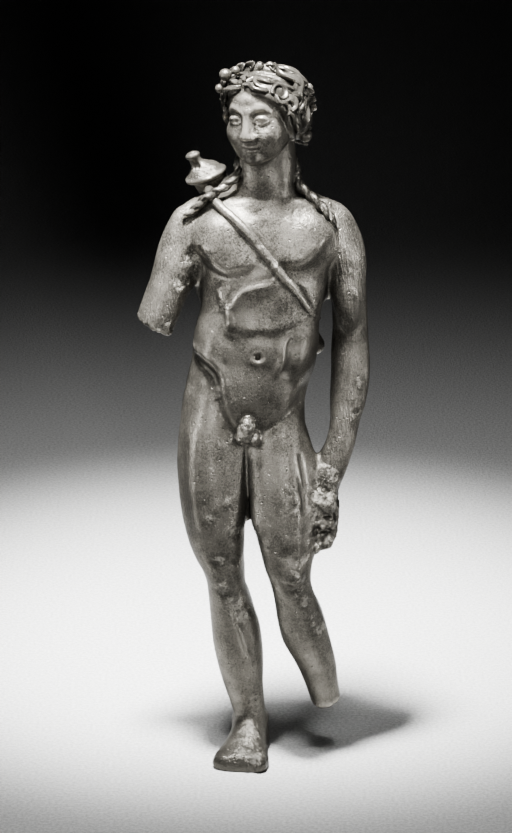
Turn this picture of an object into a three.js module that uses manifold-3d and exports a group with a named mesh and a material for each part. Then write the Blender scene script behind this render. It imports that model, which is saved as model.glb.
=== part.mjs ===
// A small cast bronze statuette of a nude archer god, standing on the right foot.
// The head is turned to the figure's right, the right arm is lost below the shoulder,
// the left foot is lost at the ankle, and a quiver hangs across the back from a strap.
// Millimetres, +Z up. The figure faces -Y and its left side is +X.
// The origin is on the ground at the middle of the standing foot's sole.
import * as THREE from "three";
import { mergeVertices } from "three/addons/utils/BufferGeometryUtils.js";
import Module from "manifold-3d";

// Driving dimensions and angles
const footLength = 24.5;
const toeOut = 7;
const bodyLean = 0.5;
const chinHeight = 137.5;
const headMiddle = [3.5, -1, 147.7];
const headTurn = 24;
const headNod = 5;
const headLean = 5;
const gripTop = 68;
const strapRadius = 1.05;
const lockRadius = 1.1;
const quiverRadius = 3.7;
const wreathRadius = 8.4;
const leafCount = 26;

// How finely the skin is sampled, and how many triangles are kept
const meshStep = 0.65;
const triangleGoal = 9600;

// Small vector helpers on plain [x, y, z] arrays
const add = (a, b) => [a[0] + b[0], a[1] + b[1], a[2] + b[2]];
const sub = (a, b) => [a[0] - b[0], a[1] - b[1], a[2] - b[2]];
const times = (a, s) => [a[0] * s, a[1] * s, a[2] * s];
const dot = (a, b) => a[0] * b[0] + a[1] * b[1] + a[2] * b[2];
const cross = (a, b) => [
  a[1] * b[2] - a[2] * b[1],
  a[2] * b[0] - a[0] * b[2],
  a[0] * b[1] - a[1] * b[0],
];
const unit = (a) => times(a, 1 / Math.hypot(...a));
const mix = (a, b, t) => a + (b - a) * t;
const clamp01 = (t) => Math.min(1, Math.max(0, t));
const radians = THREE.MathUtils.degToRad;

// A frame is a place and three axes. World points are read in it, and its own points go out of it.
const frameOf = (origin, u, v, w) => ({ origin, u, v, w });
const worldFrame = frameOf([0, 0, 0], [1, 0, 0], [0, 1, 0], [0, 0, 1]);
const outOf = (f, [a, b, c]) =>
  add(f.origin, add(times(f.u, a), add(times(f.v, b), times(f.w, c))));
const turnedFrame = (origin, turn, nod, lean) => {
  const euler = new THREE.Euler(radians(nod), radians(lean), radians(turn), "ZXY");
  const m = new THREE.Matrix4().makeRotationFromEuler(euler).elements;
  return frameOf(origin, [m[0], m[1], m[2]], [m[4], m[5], m[6]], [m[8], m[9], m[10]]);
};

// Fillets between two distances: the union, and the part that is in both
const blendOut = (a, b, k) => {
  const h = Math.max(k - Math.abs(a - b), 0);
  return Math.min(a, b) - (h * h) / (4 * k);
};
const blendIn = (a, b, k) => -blendOut(-a, -b, k);

// Every shape gives its distance, negative inside, and the middle and reach of the ball that holds it.
function egg(centre, radii, frame = worldFrame) {
  const c = outOf(frame, centre);
  const [ru, rv, rw] = radii;
  const { u, v, w } = frame;
  return {
    middle: c,
    reach: Math.max(...radii),
    distance(x, y, z) {
      const px = x - c[0];
      const py = y - c[1];
      const pz = z - c[2];
      const a = (px * u[0] + py * u[1] + pz * u[2]) / ru;
      const b = (px * v[0] + py * v[1] + pz * v[2]) / rv;
      const e = (px * w[0] + py * w[1] + pz * w[2]) / rw;
      const k0 = Math.hypot(a, b, e);
      const k1 = Math.hypot(a / ru, b / rv, e / rw);
      return k1 < 1e-9 ? -Math.min(ru, rv, rw) : (k0 * (k0 - 1)) / k1;
    },
  };
}

// A muscle belly: an egg from one end to the other, with its flat side facing outward
function belly(from, to, width, depth, outward = [0, -1, 0]) {
  const w = unit(sub(to, from));
  const v = unit(sub(outward, times(w, dot(outward, w))));
  const frame = frameOf(times(add(from, to), 0.5), cross(v, w), v, w);
  return egg([0, 0, 0], [width, depth, Math.hypot(...sub(to, from)) / 2], frame);
}

// A round rod whose middle runs smoothly through some points, with a radius at each
function rod(points, radii, stepsPerSpan = 5) {
  const curve = new THREE.CatmullRomCurve3(points.map((p) => new THREE.Vector3(...p)));
  const count = (points.length - 1) * stepsPerSpan;
  const line = Array.from({ length: count + 1 }, (_, i) => {
    const at = (i / count) * (points.length - 1);
    const k = Math.min(points.length - 2, Math.floor(at));
    return [...curve.getPoint(i / count).toArray(), mix(radii[k], radii[k + 1], at - k)];
  });
  const middle = times(add(line[0], line[count]), 0.5);
  const reach = Math.max(...line.map((p) => Math.hypot(...sub(p, middle)) + p[3]));
  return {
    middle,
    reach,
    line,
    distance(x, y, z) {
      let best = Infinity;
      for (let i = 0; i < count; i++) {
        const a = line[i];
        const b = line[i + 1];
        const bx = b[0] - a[0];
        const by = b[1] - a[1];
        const bz = b[2] - a[2];
        const px = x - a[0];
        const py = y - a[1];
        const pz = z - a[2];
        const t = clamp01((px * bx + py * by + pz * bz) / (bx * bx + by * by + bz * bz));
        const d = Math.hypot(px - t * bx, py - t * by, pz - t * bz) - mix(a[3], b[3], t);
        if (d < best) best = d;
      }
      return best;
    },
  };
}

// A smooth run of values over stations that need not be evenly spaced
function smoothRun(stations, column) {
  const n = stations.length;
  const slope = stations.map((s, i) => {
    const before = stations[Math.max(0, i - 1)];
    const after = stations[Math.min(n - 1, i + 1)];
    return (after[column] - before[column]) / (after[0] - before[0]);
  });
  return (level) => {
    let i = 0;
    while (i < n - 2 && level > stations[i + 1][0]) i++;
    const a = stations[i];
    const b = stations[i + 1];
    const gap = b[0] - a[0];
    const t = clamp01((level - a[0]) / gap);
    const s = 1 - t;
    return (
      s * s * (1 + 2 * t) * a[column] +
      t * t * (1 + 2 * s) * b[column] +
      s * s * t * gap * slope[i] -
      t * t * s * gap * slope[i + 1]
    );
  };
}

// A limb or trunk given by its level cross-sections. Each station holds the level, then the left, middle
// and right of the width, then the front, middle and back of the depth. Each quarter is part of an oval.
function loft(stations, frame = worldFrame, capRound = 1.5, fullness = 2) {
  const rows = [...stations].sort((a, b) => a[0] - b[0]);
  const bottom = rows[0][0];
  const top = rows[rows.length - 1][0];
  const samples = 160;
  const tables = [1, 2, 3, 4, 5, 6].map((column) => {
    const run = smoothRun(rows, column);
    return Float64Array.from({ length: samples + 1 }, (_, i) =>
      run(mix(bottom, top, i / samples)),
    );
  });
  const centreRow = rows[Math.floor(rows.length / 2)];
  const middle = outOf(frame, [centreRow[2], centreRow[5], (bottom + top) / 2]);
  const reach =
    (top - bottom) / 2 +
    Math.max(...rows.flatMap((r) => [r[3] - r[1], r[6] - r[4]])) +
    Math.max(...rows.map((r) => Math.abs(r[2] - centreRow[2])));
  const { origin, u, v, w } = frame;
  return {
    middle,
    reach,
    distance(x, y, z) {
      const px = x - origin[0];
      const py = y - origin[1];
      const pz = z - origin[2];
      const a = px * u[0] + py * u[1] + pz * u[2];
      const b = px * v[0] + py * v[1] + pz * v[2];
      const level = px * w[0] + py * w[1] + pz * w[2];
      const at = clamp01((level - bottom) / (top - bottom)) * samples;
      const i = Math.min(samples - 1, Math.floor(at));
      const t = at - i;
      const [left, midA, right, front, midB, back] = tables.map((c) =>
        mix(c[i], c[i + 1], t),
      );
      const da = a - midA;
      const db = b - midB;
      const qa = Math.abs(da) / (da < 0 ? midA - left : right - midA);
      const qb = Math.abs(db) / (db < 0 ? midB - front : back - midB);
      const q = (qa ** fullness + qb ** fullness) ** (1 / fullness);
      const across = Math.hypot(da, db);
      const side = q < 1e-6 ? -Math.min(midA - left, midB - front) : across * (1 - 1 / q);
      const end = Math.max(level - top, bottom - level);
      return blendIn(side, end, capRound);
    },
  };
}

// Relief along a curve drawn on the front or back. The points are [x, z] seen straight on.
// A furrow is pressed in along the curve; a step raises its left side, seen along it, and lowers the right.
function stroke({ points, width, furrow = 0, step = 0, facing = -1, beyond = 0 }) {
  const curve = new THREE.SplineCurve(points.map((p) => new THREE.Vector2(...p)));
  const count = (points.length - 1) * 6;
  const line = curve.getPoints(count).map((p) => [p.x, p.y]);
  const margin = width * 2.6;
  const xs = line.map((p) => p[0]);
  const zs = line.map((p) => p[1]);
  const box = [
    Math.min(...xs) - margin,
    Math.max(...xs) + margin,
    Math.min(...zs) - margin,
    Math.max(...zs) + margin,
  ];
  return (x, y, z) => {
    if (x < box[0] || x > box[1] || z < box[2] || z > box[3]) return 0;
    const shown = clamp01((facing * (y - beyond)) / 3);
    if (!shown) return 0;
    let nearest = Infinity;
    let side = 0;
    let along = 0;
    for (let i = 0; i < count; i++) {
      const [ax, az] = line[i];
      const bx = line[i + 1][0] - ax;
      const bz = line[i + 1][1] - az;
      const t = clamp01(((x - ax) * bx + (z - az) * bz) / (bx * bx + bz * bz));
      const ox = x - ax - t * bx;
      const oz = z - az - t * bz;
      const d = Math.hypot(ox, oz);
      if (d < nearest) {
        nearest = d;
        side = Math.sign(bx * oz - bz * ox) * d;
        along = (i + t) / count;
      }
    }
    const fade = Math.min(1, 5 * along, 5 * (1 - along));
    const s = side / width;
    const bell = Math.exp(-s * s);
    return shown * fade * (furrow * bell - step * s * Math.exp(0.5 - (s * s) / 2));
  };
}

// A form is built up in steps, each of which changes the distance found so far.
const reachMargin = 3;
class Form {
  steps = [];
  join(shape, fillet = 1.5) {
    this.steps.push({ shape, fillet, kind: "join" });
    return this;
  }
  cut(shape, fillet = 0.5) {
    this.steps.push({ shape, fillet, kind: "cut" });
    return this;
  }
  carve(strokes) {
    this.steps.push(...strokes.map((s) => ({ carving: stroke(s), kind: "carve" })));
    return this;
  }
  distance(x, y, z) {
    let d = 1e3;
    for (const { shape, fillet, carving, kind } of this.steps) {
      if (kind === "carve") {
        if (Math.abs(d) < reachMargin) d += carving(x, y, z);
        continue;
      }
      const [mx, my, mz] = shape.middle;
      if (Math.hypot(x - mx, y - my, z - mz) > shape.reach + reachMargin + fillet) continue;
      const e = shape.distance(x, y, z);
      d = kind === "join" ? blendOut(d, e, fillet) : blendIn(d, -e, fillet);
    }
    return d;
  }
  // Moves a point straight in or out until it is a given height above the skin
  settle(point, height) {
    let p = point;
    const h = 0.05;
    for (let i = 0; i < 12; i++) {
      const d = this.distance(...p);
      const slope = unit([
        this.distance(p[0] + h, p[1], p[2]) - this.distance(p[0] - h, p[1], p[2]),
        this.distance(p[0], p[1] + h, p[2]) - this.distance(p[0], p[1] - h, p[2]),
        this.distance(p[0], p[1], p[2] + h) - this.distance(p[0], p[1], p[2] - h),
      ]);
      p = add(p, times(slope, height - d));
    }
    return p;
  }
}

// Trunk and limbs, by level: [height, left, middle, right, front, middle, back]
const trunk = [
  [73.5, -8.5, -1.3, 7.5, -4.5, 1.5, 8.5],
  [78, -13.2, -2.2, 11.8, -7.4, 1, 10.6],
  [83, -13.6, -2.6, 12.5, -8.4, 1, 10.8],
  [88, -12.8, -1.8, 13.9, -8.7, 1, 9.6],
  [93, -11.6, -1.1, 14.6, -8.7, 0.8, 8.2],
  [98, -10.4, -0.1, 15.5, -8.5, 0.6, 7.2],
  [103, -10, 0.5, 16.2, -8.7, 0.6, 7.6],
  [108, -9.8, 1, 17.3, -9.2, 0.8, 8.8],
  [113, -9.6, 1.6, 18.2, -9.6, 1.2, 9.8],
  [118, -10.4, 2.2, 19, -9.2, 1.6, 10],
  [122, -11.2, 2.8, 19.6, -7.8, 1.8, 9.6],
  [126, -10, 3.6, 17.6, -5.4, 2, 8],
  [129, -4.4, 4.3, 12.4, -3.6, 2, 6.2],
];
const neck = [
  [124, -2, 4.8, 11.6, -3.6, 2.4, 8],
  [131, -1.3, 4.6, 10.4, -4.2, 1.8, 7.2],
  [136, -1.4, 4.3, 10, -4.4, 1.2, 6.8],
  [143, -1.6, 4.1, 9.8, -4.4, 1, 6.8],
];
const rightArm = [
  [124.5, -15, -12.4, -9.4, -1.6, 2.2, 6.4],
  [118, -17.6, -13.2, -9, -3, 1.9, 6.8],
  [114, -19.1, -14.5, -10, -3.7, 1.4, 6.3],
  [109.5, -20.9, -15.9, -11.2, -4.1, 0.8, 5.6],
  [105.3, -22.5, -17.7, -13.1, -4.4, 0.2, 4.8],
  [101, -23.9, -19.3, -15, -4.5, -0.3, 4],
  [95, -25.2, -21.2, -17.3, -4.6, -0.8, 3.2],
];
const leftArm = [
  [124.5, 15.6, 19, 21.6, -1.4, 2.2, 6],
  [119, 17, 20.5, 23.6, -2.9, 2.5, 7],
  [115, 18.2, 21.4, 24.6, -3, 2.9, 7.4],
  [111, 18.5, 21.9, 25.4, -2.6, 3.1, 7.4],
  [106.5, 18.4, 22.2, 26, -1.8, 3.3, 7.4],
  [99.5, 18.7, 22.5, 26.4, -0.6, 3.8, 7.9],
  [96, 18.6, 22.6, 26.6, -1.2, 3.8, 8],
  [92.5, 18.4, 22.4, 26.5, -2.4, 3, 7.4],
  [88.5, 18.4, 22.3, 26.2, -3.2, 2, 6.6],
  [83, 18.2, 21.9, 25.5, -3.8, 1, 5.4],
  [78, 18.2, 21.4, 24.6, -4.1, 0, 4],
  [74, 17.4, 20.6, 23.9, -4.3, -0.8, 2.8],
  [69, 15.6, 18.9, 22.4, -4.5, -1.6, 1.6],
];
const rightLeg = [
  [86, -12, -7.5, -2.5, -6.4, 0.5, 9],
  [80, -14, -8, -1.6, -7.4, 0.8, 10.2],
  [75, -14.8, -8.1, -1.2, -7.8, 0.8, 9.8],
  [69, -15, -7.9, -0.9, -8.1, 0.4, 8.4],
  [64, -14.7, -7.8, -0.9, -8.1, 0, 7.7],
  [59.6, -14.2, -7.5, -0.9, -7.9, -0.3, 7],
  [55, -13.4, -7.1, -0.9, -7.5, -0.5, 6.2],
  [50.4, -12.2, -6.5, -0.8, -6.9, -0.7, 5.3],
  [45.8, -10.6, -5.4, -0.5, -6.4, -0.7, 4.6],
  [41.2, -9, -4.6, -0.3, -5.7, -0.4, 4.7],
  [36.1, -8.4, -3.8, 1, -4.4, 0.4, 5.7],
  [31, -8, -3.2, 2.7, -3.5, 1.2, 7.2],
  [26, -7.6, -2.6, 3.4, -2.7, 2, 8.1],
  [21, -6.7, -1.7, 3.7, -1.8, 2.7, 8.2],
  [16, -5.5, -0.9, 3.6, -0.9, 3.4, 7.8],
  [11, -3.9, 0, 3.9, 0.1, 4.1, 8],
  [6.5, -2.7, 0.8, 4.3, 0.2, 4.6, 8.6],
  [1, -2.9, 0.9, 4.7, 0.4, 4.8, 8.9],
];
const leftLeg = [
  [86, 2.5, 7.5, 12.2, -6.2, 0.3, 8.8],
  [80, 1.2, 6.8, 12.3, -7.2, 0.4, 9.6],
  [74, 1.2, 7.2, 12.9, -8.4, -0.2, 8.8],
  [69.3, 1.6, 7.9, 13.8, -9.2, -1.2, 7],
  [65, 1.8, 8.1, 14.1, -9.8, -2.1, 5.8],
  [60.6, 1.4, 8.2, 14.4, -10.4, -3, 4.6],
  [56, 1.4, 7.9, 14.4, -10.8, -3.8, 3.3],
  [52, 2.4, 8.4, 14.3, -11, -4.6, 1.8],
  [48.7, 3.6, 8.9, 14.1, -11, -5.1, 0.7],
  [45.4, 4.2, 9.2, 14.1, -10.9, -5.4, -0.2],
  [42, 5.2, 9.8, 14.3, -9.9, -5.2, 0],
  [37.7, 6.1, 10.8, 15.6, -8.4, -4, 2],
  [32.5, 6.8, 11.9, 17.3, -7, -2.4, 4.3],
  [27, 8, 13.2, 18.7, -5.4, -0.6, 5.9],
  [21.8, 10.6, 15, 19.8, -3.6, 0.9, 6.5],
  [16.4, 12.8, 16.6, 20.4, -1.8, 2.4, 6.8],
  [11.8, 14.2, 17.7, 21.1, -0.5, 3.6, 7.4],
  [6, 15.8, 19.1, 22.3, 1.2, 5.1, 8.8],
];

// The standing foot, by distance from its middle towards the toes: the same columns, across and then upward
const foot = [
  [-footLength / 2, -2.4, 0, 2.5, -4, 1.6, 3.4],
  [-10.4, -3.3, 0, 3.5, -4, 2.4, 6.4],
  [-7, -3.8, 0.1, 3.9, -4, 2.6, 8.6],
  [-2, -4, 0.2, 4.5, -4, 2.4, 8.6],
  [2, -4.5, 0.3, 5, -4, 1.8, 6.8],
  [6, -5.3, 0.2, 5.5, -4, 1.4, 5],
  [9, -5.9, 0, 5.7, -4, 1.2, 3.9],
  [11.2, -5.5, 0.1, 5.2, -4, 1, 3.1],
  [footLength / 2, -3.8, 0.3, 4, -4, 0.8, 2.3],
];
const footFrame = (() => {
  const a = radians(toeOut);
  const across = [Math.cos(a), -Math.sin(a), 0];
  return frameOf([-0.2, 0, 0], across, [0, 0, 1], [-Math.sin(a), -Math.cos(a), 0]);
})();

// A station with its depth drawn in towards its middle
const flattened = (row, s) => {
  const [level, left, midA, right, front, midB, back] = row;
  return [level, left, midA, right, mix(midB, front, s), midB, mix(midB, back, s)];
};

function bareFigure() {
  return new Form()
    .join(loft(trunk), 2)
    .join(loft(neck), 3)
    .join(loft(rightLeg.map((row) => flattened(row, 1.09))), 1.6)
    .join(loft(leftLeg.map((row) => flattened(row, 0.87))), 1.6)
    .join(loft(rightArm), 2)
    .join(loft(leftArm.map((row) => flattened(row, 0.82))), 2)
    .join(loft(foot, footFrame, 1.2, 2.8), 2);
}

const muscles = [
  // chest and shoulders
  [egg([-3.4, -3.6, 118.8], [7, 5.9, 5.4]), 2.2],
  [egg([12.4, -3.2, 119], [6.8, 5.2, 5.4]), 2.2],
  [belly([-11.2, 2.4, 125.4], [-17.4, 1.8, 109], 4.5, 4, [-1, 0, 0.3]), 2.5],
  [belly([18.4, 2.2, 125.6], [23.6, 3.2, 109.5], 4.5, 4, [1, 0, 0.3]), 2.5],
  [rod([[3, 4.6, 134.2], [-2, 4.6, 129.6], [-10, 4.2, 124.6]], [2.8, 2.7, 2.4]), 2.4],
  [rod([[6.6, 4.6, 133], [11, 4.4, 127.8], [17.6, 4, 123.8]], [2.7, 2.6, 2.3]), 2.4],
  [rod([[3.6, -3.9, 126.8], [-2.4, -2.8, 127.2], [-9.5, -0.4, 127]], [0.9, 0.9, 1]), 2],
  [rod([[6.4, -3.9, 126.8], [11.8, -2.8, 127.4], [17.2, -0.4, 127]], [0.9, 0.9, 1]), 2],
  [rod([[5.4, -4.1, 127.4], [7.6, -2.4, 133], [8.8, 2.2, 140]], [1, 1.3, 1.4]), 2],
  [rod([[4, -4.1, 127.4], [1.2, -3, 133], [-0.6, 0.6, 139]], [1, 1.1, 1.2]), 2],
  // back
  [belly([-10.2, 5.4, 119.5], [-6.5, 5.8, 100], 3.6, 3.6, [-0.7, 1, 0]), 2.5],
  [belly([18.6, 4.6, 119.5], [13.8, 5, 102], 3.2, 2.6, [0.7, 1, 0]), 2.5],
  [belly([-7.5, 7.8, 124], [-2.5, 9.4, 111], 4, 2.1, [0, 1, 0]), 2],
  [belly([17, 7, 123.5], [12.4, 8.4, 111.5], 3.8, 1.6, [0, 1, 0]), 2],
  [rod([[2, 7.6, 116], [0.4, 5.9, 100], [-2.6, 6.8, 88]], [2, 2.2, 2]), 2],
  [rod([[7.2, 7.6, 116], [5.6, 5.9, 100], [1.8, 6.8, 88]], [2, 2.2, 2]), 2],
  [egg([-7.4, 7, 80.4], [6.6, 6.6, 8]), 2],
  [egg([5.8, 5.2, 79.6], [6.4, 5.2, 7.6]), 2],
  // belly and flanks
  [egg([3.2, -4, 97], [7.2, 5, 13]), 2.2],
  [egg([0.9, -3.8, 86.5], [8.2, 5.1, 7.5]), 2.2],
  [egg([-6, -0.4, 96.6], [4.9, 7.4, 6]), 3],
  [egg([10.4, -0.8, 94.6], [4.3, 6, 6.4]), 3],
  [egg([0.3, -4.6, 79.8], [3.8, 3, 3.4]), 2],
  // right leg
  [belly([-8.4, -2.8, 84], [-5.9, -3.6, 45], 5, 4.8, [-0.2, -1, 0]), 2.4],
  [belly([-11, -0.6, 78], [-8.8, -2, 46], 3.4, 4.2, [-1, 0, 0]), 2.4],
  [belly([-2.9, -2.6, 58], [-3.6, -3.2, 44.5], 2.4, 2.9, [0.3, -1, 0]), 1.8],
  [egg([-5, -4.4, 43.4], [2.2, 1.9, 2.6]), 1],
  [belly([-6.4, 6, 78], [-5.4, 3.2, 42], 4.8, 3, [0, 1, 0]), 2],
  [belly([-1.6, 4, 40], [0.9, 6.4, 17], 2.3, 3, [0.5, 1, 0]), 1.8],
  [belly([-5, 3.6, 40], [-3.2, 6.4, 19], 2.3, 3, [-0.5, 1, 0]), 1.8],
  [egg([3.9, 4.8, 6.8], [1, 1.5, 1.5]), 1],
  [egg([-2.3, 5.4, 5.8], [1, 1.5, 1.5]), 1],
  // left leg
  [belly([7.6, -3.4, 84], [9.2, -7.6, 45], 4.8, 4, [0.1, -1, 0]), 2.4],
  [belly([10.8, -1.2, 78], [11.9, -6, 46], 3.1, 4.2, [1, 0, 0]), 2.4],
  [belly([5.2, -5.6, 58], [6.4, -7.8, 44.5], 2.4, 2.9, [-0.3, -1, 0]), 1.8],
  [egg([10.2, -9.3, 45.6], [2.3, 1.9, 2.7]), 1],
  [belly([7.2, 3.2, 76], [9.2, -1.8, 43], 4.4, 2.4, [0, 1, 0]), 2],
  [belly([10, -0.4, 40], [12.8, 4.4, 20], 2.3, 2.8, [-0.4, 1, 0.2]), 1.8],
  [belly([13.4, -0.8, 39], [16.9, 4.2, 20], 2.3, 2.8, [0.5, 1, 0.2]), 1.8],
  // metal left between the thighs
  [belly([-0.2, 1, 80], [0.3, -1.8, 56.5], 1.3, 3.4, [0, -1, 0]), 1.6],
  // arms
  [belly([20.8, -0.8, 117], [22.4, 0.2, 98], 2.7, 2.4, [0, -1, 0]), 2],
  [belly([22.6, 5.2, 117], [22.8, 6, 99], 2.9, 2, [0, 1, 0]), 2],
  [belly([23.9, 1.6, 98], [23, -0.6, 79], 2.4, 3.2, [1, -0.3, 0]), 2],
  [belly([-14.6, -1.8, 117], [-19.2, -2.4, 97], 3, 2.4, [0, -1, 0]), 2],
  [egg([-11.2, 2, 112.6], [2, 3.4, 3]), 1.6],
  [belly([-15, 4.2, 117], [-19.4, 2.4, 97], 3, 2.2, [0, 1, 0]), 2],
  // sex
  [egg([0.3, -8.6, 79], [1.3, 1.6, 2]), 0.5],
  [egg([-0.5, -7.6, 76.8], [1.3, 1.7, 1.8]), 0.5],
  [egg([1.3, -7.6, 76.6], [1.3, 1.7, 1.8]), 0.5],
];

const carving = [
  // chest
  {
    points: [[-10.6, 117.4], [-8.4, 113.6], [-4.6, 112.4], [0.2, 113.2], [3.8, 115.5]],
    width: 1.5, furrow: 0.35, step: 0.5,
  },
  {
    points: [[5.6, 115.6], [8.2, 114], [11.2, 113.8], [14, 115.6], [16.6, 119.6]],
    width: 1.5, furrow: 0.45, step: 0.5,
  },
  {
    points: [[4.7, 126], [4.4, 120.5], [4.5, 115]],
    width: 1.4, furrow: 0.6,
  },
  // arch of the ribs
  {
    points: [[4.4, 112.6], [-0.2, 111], [-2.9, 108.4], [-4, 104.6], [-4.6, 101]],
    width: 1.1, furrow: 0.45, step: -0.25,
  },
  {
    points: [[5, 112.6], [9.4, 111], [12.2, 107.8], [13.2, 103.4]],
    width: 1.1, furrow: 0.45, step: 0.25,
  },
  // belly
  {
    points: [[-3.4, 100.9], [3.3, 100.8], [10.8, 101.6]],
    width: 0.9, furrow: 0.4, step: 0.15,
  },
  {
    points: [[3.9, 111], [3, 105.5], [2.5, 97.5]],
    width: 1.1, furrow: 0.28,
  },
  {
    points: [[10.8, 101], [8, 96.8], [7.2, 93], [6, 88.4]],
    width: 1, furrow: 0.35, step: 0.3,
  },
  {
    points: [[-4, 100.4], [-4.4, 96.4], [-3.6, 90]],
    width: 1, furrow: 0.25, step: -0.15,
  },
  // hips and groins
  {
    points: [[-13, 94.2], [-9.6, 92.8], [-7, 90.8], [-5.8, 88], [-5, 84.4]],
    width: 1, furrow: 0.85, step: 0.45,
  },
  {
    points: [[-5, 86], [-4.4, 82], [-3, 79], [-1.4, 77]],
    width: 1, furrow: 0.6, step: 0.2,
  },
  {
    points: [[15, 91.4], [12.8, 88.2], [11, 85], [9, 82.4], [6.2, 79.8], [3, 77.2]],
    width: 1.1, furrow: 0.6, step: -0.3,
  },
  // knees and shin
  {
    points: [[-8.4, 47.4], [-5.2, 48.2], [-2.2, 47]],
    width: 0.9, furrow: 0.3,
  },
  {
    points: [[-7.4, 41.4], [-5, 40.2], [-2.6, 41.4]],
    width: 0.8, furrow: 0.3,
  },
  {
    points: [[-3.6, 36], [-2.4, 31.5], [-1.5, 26.8], [0.4, 20]],
    width: 0.8, furrow: -0.35,
  },
  {
    points: [[7.2, 49.8], [10.4, 50.4], [13.2, 49.4]],
    width: 0.9, furrow: 0.3, beyond: -4,
  },
  {
    points: [[7.8, 43.4], [10.2, 42.2], [12.6, 43.4]],
    width: 0.8, furrow: 0.3, beyond: -4,
  },
  // back
  {
    points: [[4.9, 127], [4.7, 118], [4, 108], [2, 96], [0, 88]],
    width: 1.5, furrow: 0.9, facing: 1, beyond: 3,
  },
  {
    points: [[-0.3, 85.6], [-0.9, 80], [-0.6, 72.6]],
    width: 1.1, furrow: 1.7, facing: 1, beyond: 2,
  },
  {
    points: [[-13, 74.4], [-8, 72.4], [-2, 72.6]],
    width: 1.1, furrow: 0.8, step: 0.3, facing: 1, beyond: 3,
  },
  {
    points: [[0.6, 72.4], [6, 71.8], [11.6, 73.4]],
    width: 1.1, furrow: 0.8, step: 0.3, facing: 1, beyond: 3,
  },
];

// The head, in its own frame: across to its left, back from the face, and up, from the middle of the head
const headFrame = turnedFrame(headMiddle, -headTurn, headNod, -headLean);
const skull = [
  [-10.2, -1.9, 0, 1.9, -7.6, -5.6, -3.4],
  [-9.2, -3.3, 0, 3.3, -8, -5, -1],
  [-7.6, -4.7, 0, 4.7, -8.1, -4, 2],
  [-5.6, -5.7, 0, 5.7, -8.1, -2, 5.4],
  [-3.4, -6.4, 0, 6.4, -8.2, -0.5, 8],
  [-1, -6.8, 0, 6.8, -8.1, 1, 9.4],
  [1.5, -7.1, 0, 7.1, -8.3, 1.2, 10],
  [4, -7.1, 0, 7.1, -8, 1.3, 9.8],
  [6.4, -6.3, 0, 6.3, -6.6, 1.4, 8.8],
  [8.4, -4.6, 0, 4.6, -4.2, 1.4, 6.8],
  [9.6, -2.2, 0, 2.2, -1.4, 1.4, 4],
];
const hairMass = [
  [-8.8, -4.2, 0, 4.6, 4.2, 6.6, 9.4],
  [-6.6, -7, 0, 7.2, 0.8, 5, 11.2],
  [-3, -8.1, 0, 8.1, -2, 4, 11.6],
  [0, -8.6, 0, 8.2, -4.2, 3, 11.4],
  [3, -8.6, 0, 8.1, -6, 2, 11],
  [6, -7.8, 0, 7.4, -6.8, 1.4, 9.8],
  [8, -6, 0, 5.8, -5.4, 1.2, 7.8],
  [9.3, -3.6, 0, 3.6, -3, 1.2, 5],
];

function addFace(form) {
  const place = (p) => outOf(headFrame, p);
  for (const side of [-1, 1]) {
    form.cut(egg([side * 3, -8.9, -0.4], [2, 1.1, 1.3], headFrame), 0.9);
    form.join(egg([side * 3, -6.7, -0.5], [1.7, 1.6, 1.2], headFrame), 0.25);
    const brow = [[0.8, -8.1, 0.8], [3, -8.1, 1.9], [5.2, -6.9, 1.4]];
    form.join(rod(brow.map(([u, v, w]) => place([side * u, v, w])), [0.5, 0.5, 0.4]), 0.9);
    form.join(egg([side * 3.4, -6, -3.6], [2.6, 2, 2.6], headFrame), 2);
    form.join(egg([side * 1.1, -8.8, -4.1], [0.8, 0.8, 0.7], headFrame), 0.6);
  }
  form.join(rod([[0, -8, 1.2], [0, -9.1, -2], [0, -9.9, -4]].map(place), [0.6, 0.7, 0.9]), 0.9);
  form.join(egg([0, -7.9, -6.3], [1.9, 0.8, 0.5], headFrame), 0.3);
  form.join(egg([0, -7.8, -7.3], [1.6, 0.8, 0.55], headFrame), 0.3);
  form.join(egg([0, -7.2, -9.2], [2, 1.4, 1.3], headFrame), 1.2);
}

// Wavy locks are swept from the parting over the temples to a roll at the nape.
function addHair(form) {
  form.join(loft(hairMass, headFrame, 1.5, 2.2), 0.8);
  const place = (p) => outOf(headFrame, p);
  const lockCount = 4;
  for (const side of [-1, 1]) {
    for (let i = 0; i < lockCount; i++) {
      const t = i / (lockCount - 1);
      const path = Array.from({ length: 9 }, (_, n) => {
        const s = n / 8;
        const down = s * mix(1.75, 1.9, t);
        const wave = 0.55 * Math.sin(7.5 * s + 2.2 * i);
        const reach = Math.sin(down);
        return [
          side * (0.5 + reach * mix(7.3, 8.8, t)),
          mix(-7.4, -1.6, t) + mix(8, 8.6, t) * s * s + wave * 0.6,
          mix(6.8, 9.2, t) - mix(9.6, 10.6, t) * s ** 1.5 + wave,
        ];
      });
      const radii = path.map((_, n) => mix(1.15, 1.35, Math.sin((n / 8) * Math.PI)));
      form.join(rod(path.map(place), radii, 3), 0.35);
    }
    const curls = [
      [[6.6, -6, 3], [7.3, -5.4, 0.8], [8, -4, 0.4], [8, -3.8, 2]],
      [[7.6, -4.6, -0.4], [8, -3.6, -2.4], [8.6, -2.2, -2], [8.4, -2, -0.4]],
    ];
    for (const curl of curls) {
      form.join(rod(curl.map(([u, v, w]) => place([side * u, v, w])), [0.9, 1, 0.9, 0.7]), 0.25);
    }
  }
  const roll = [[-7, 6.4, -5.2], [-4, 9.4, -5.8], [0, 10.4, -6.4], [4, 8.8, -7], [6.6, 5.6, -7.4]];
  form.join(rod(roll.map(place), [1.6, 2, 2.1, 2, 1.6]), 0.6);
}

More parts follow.
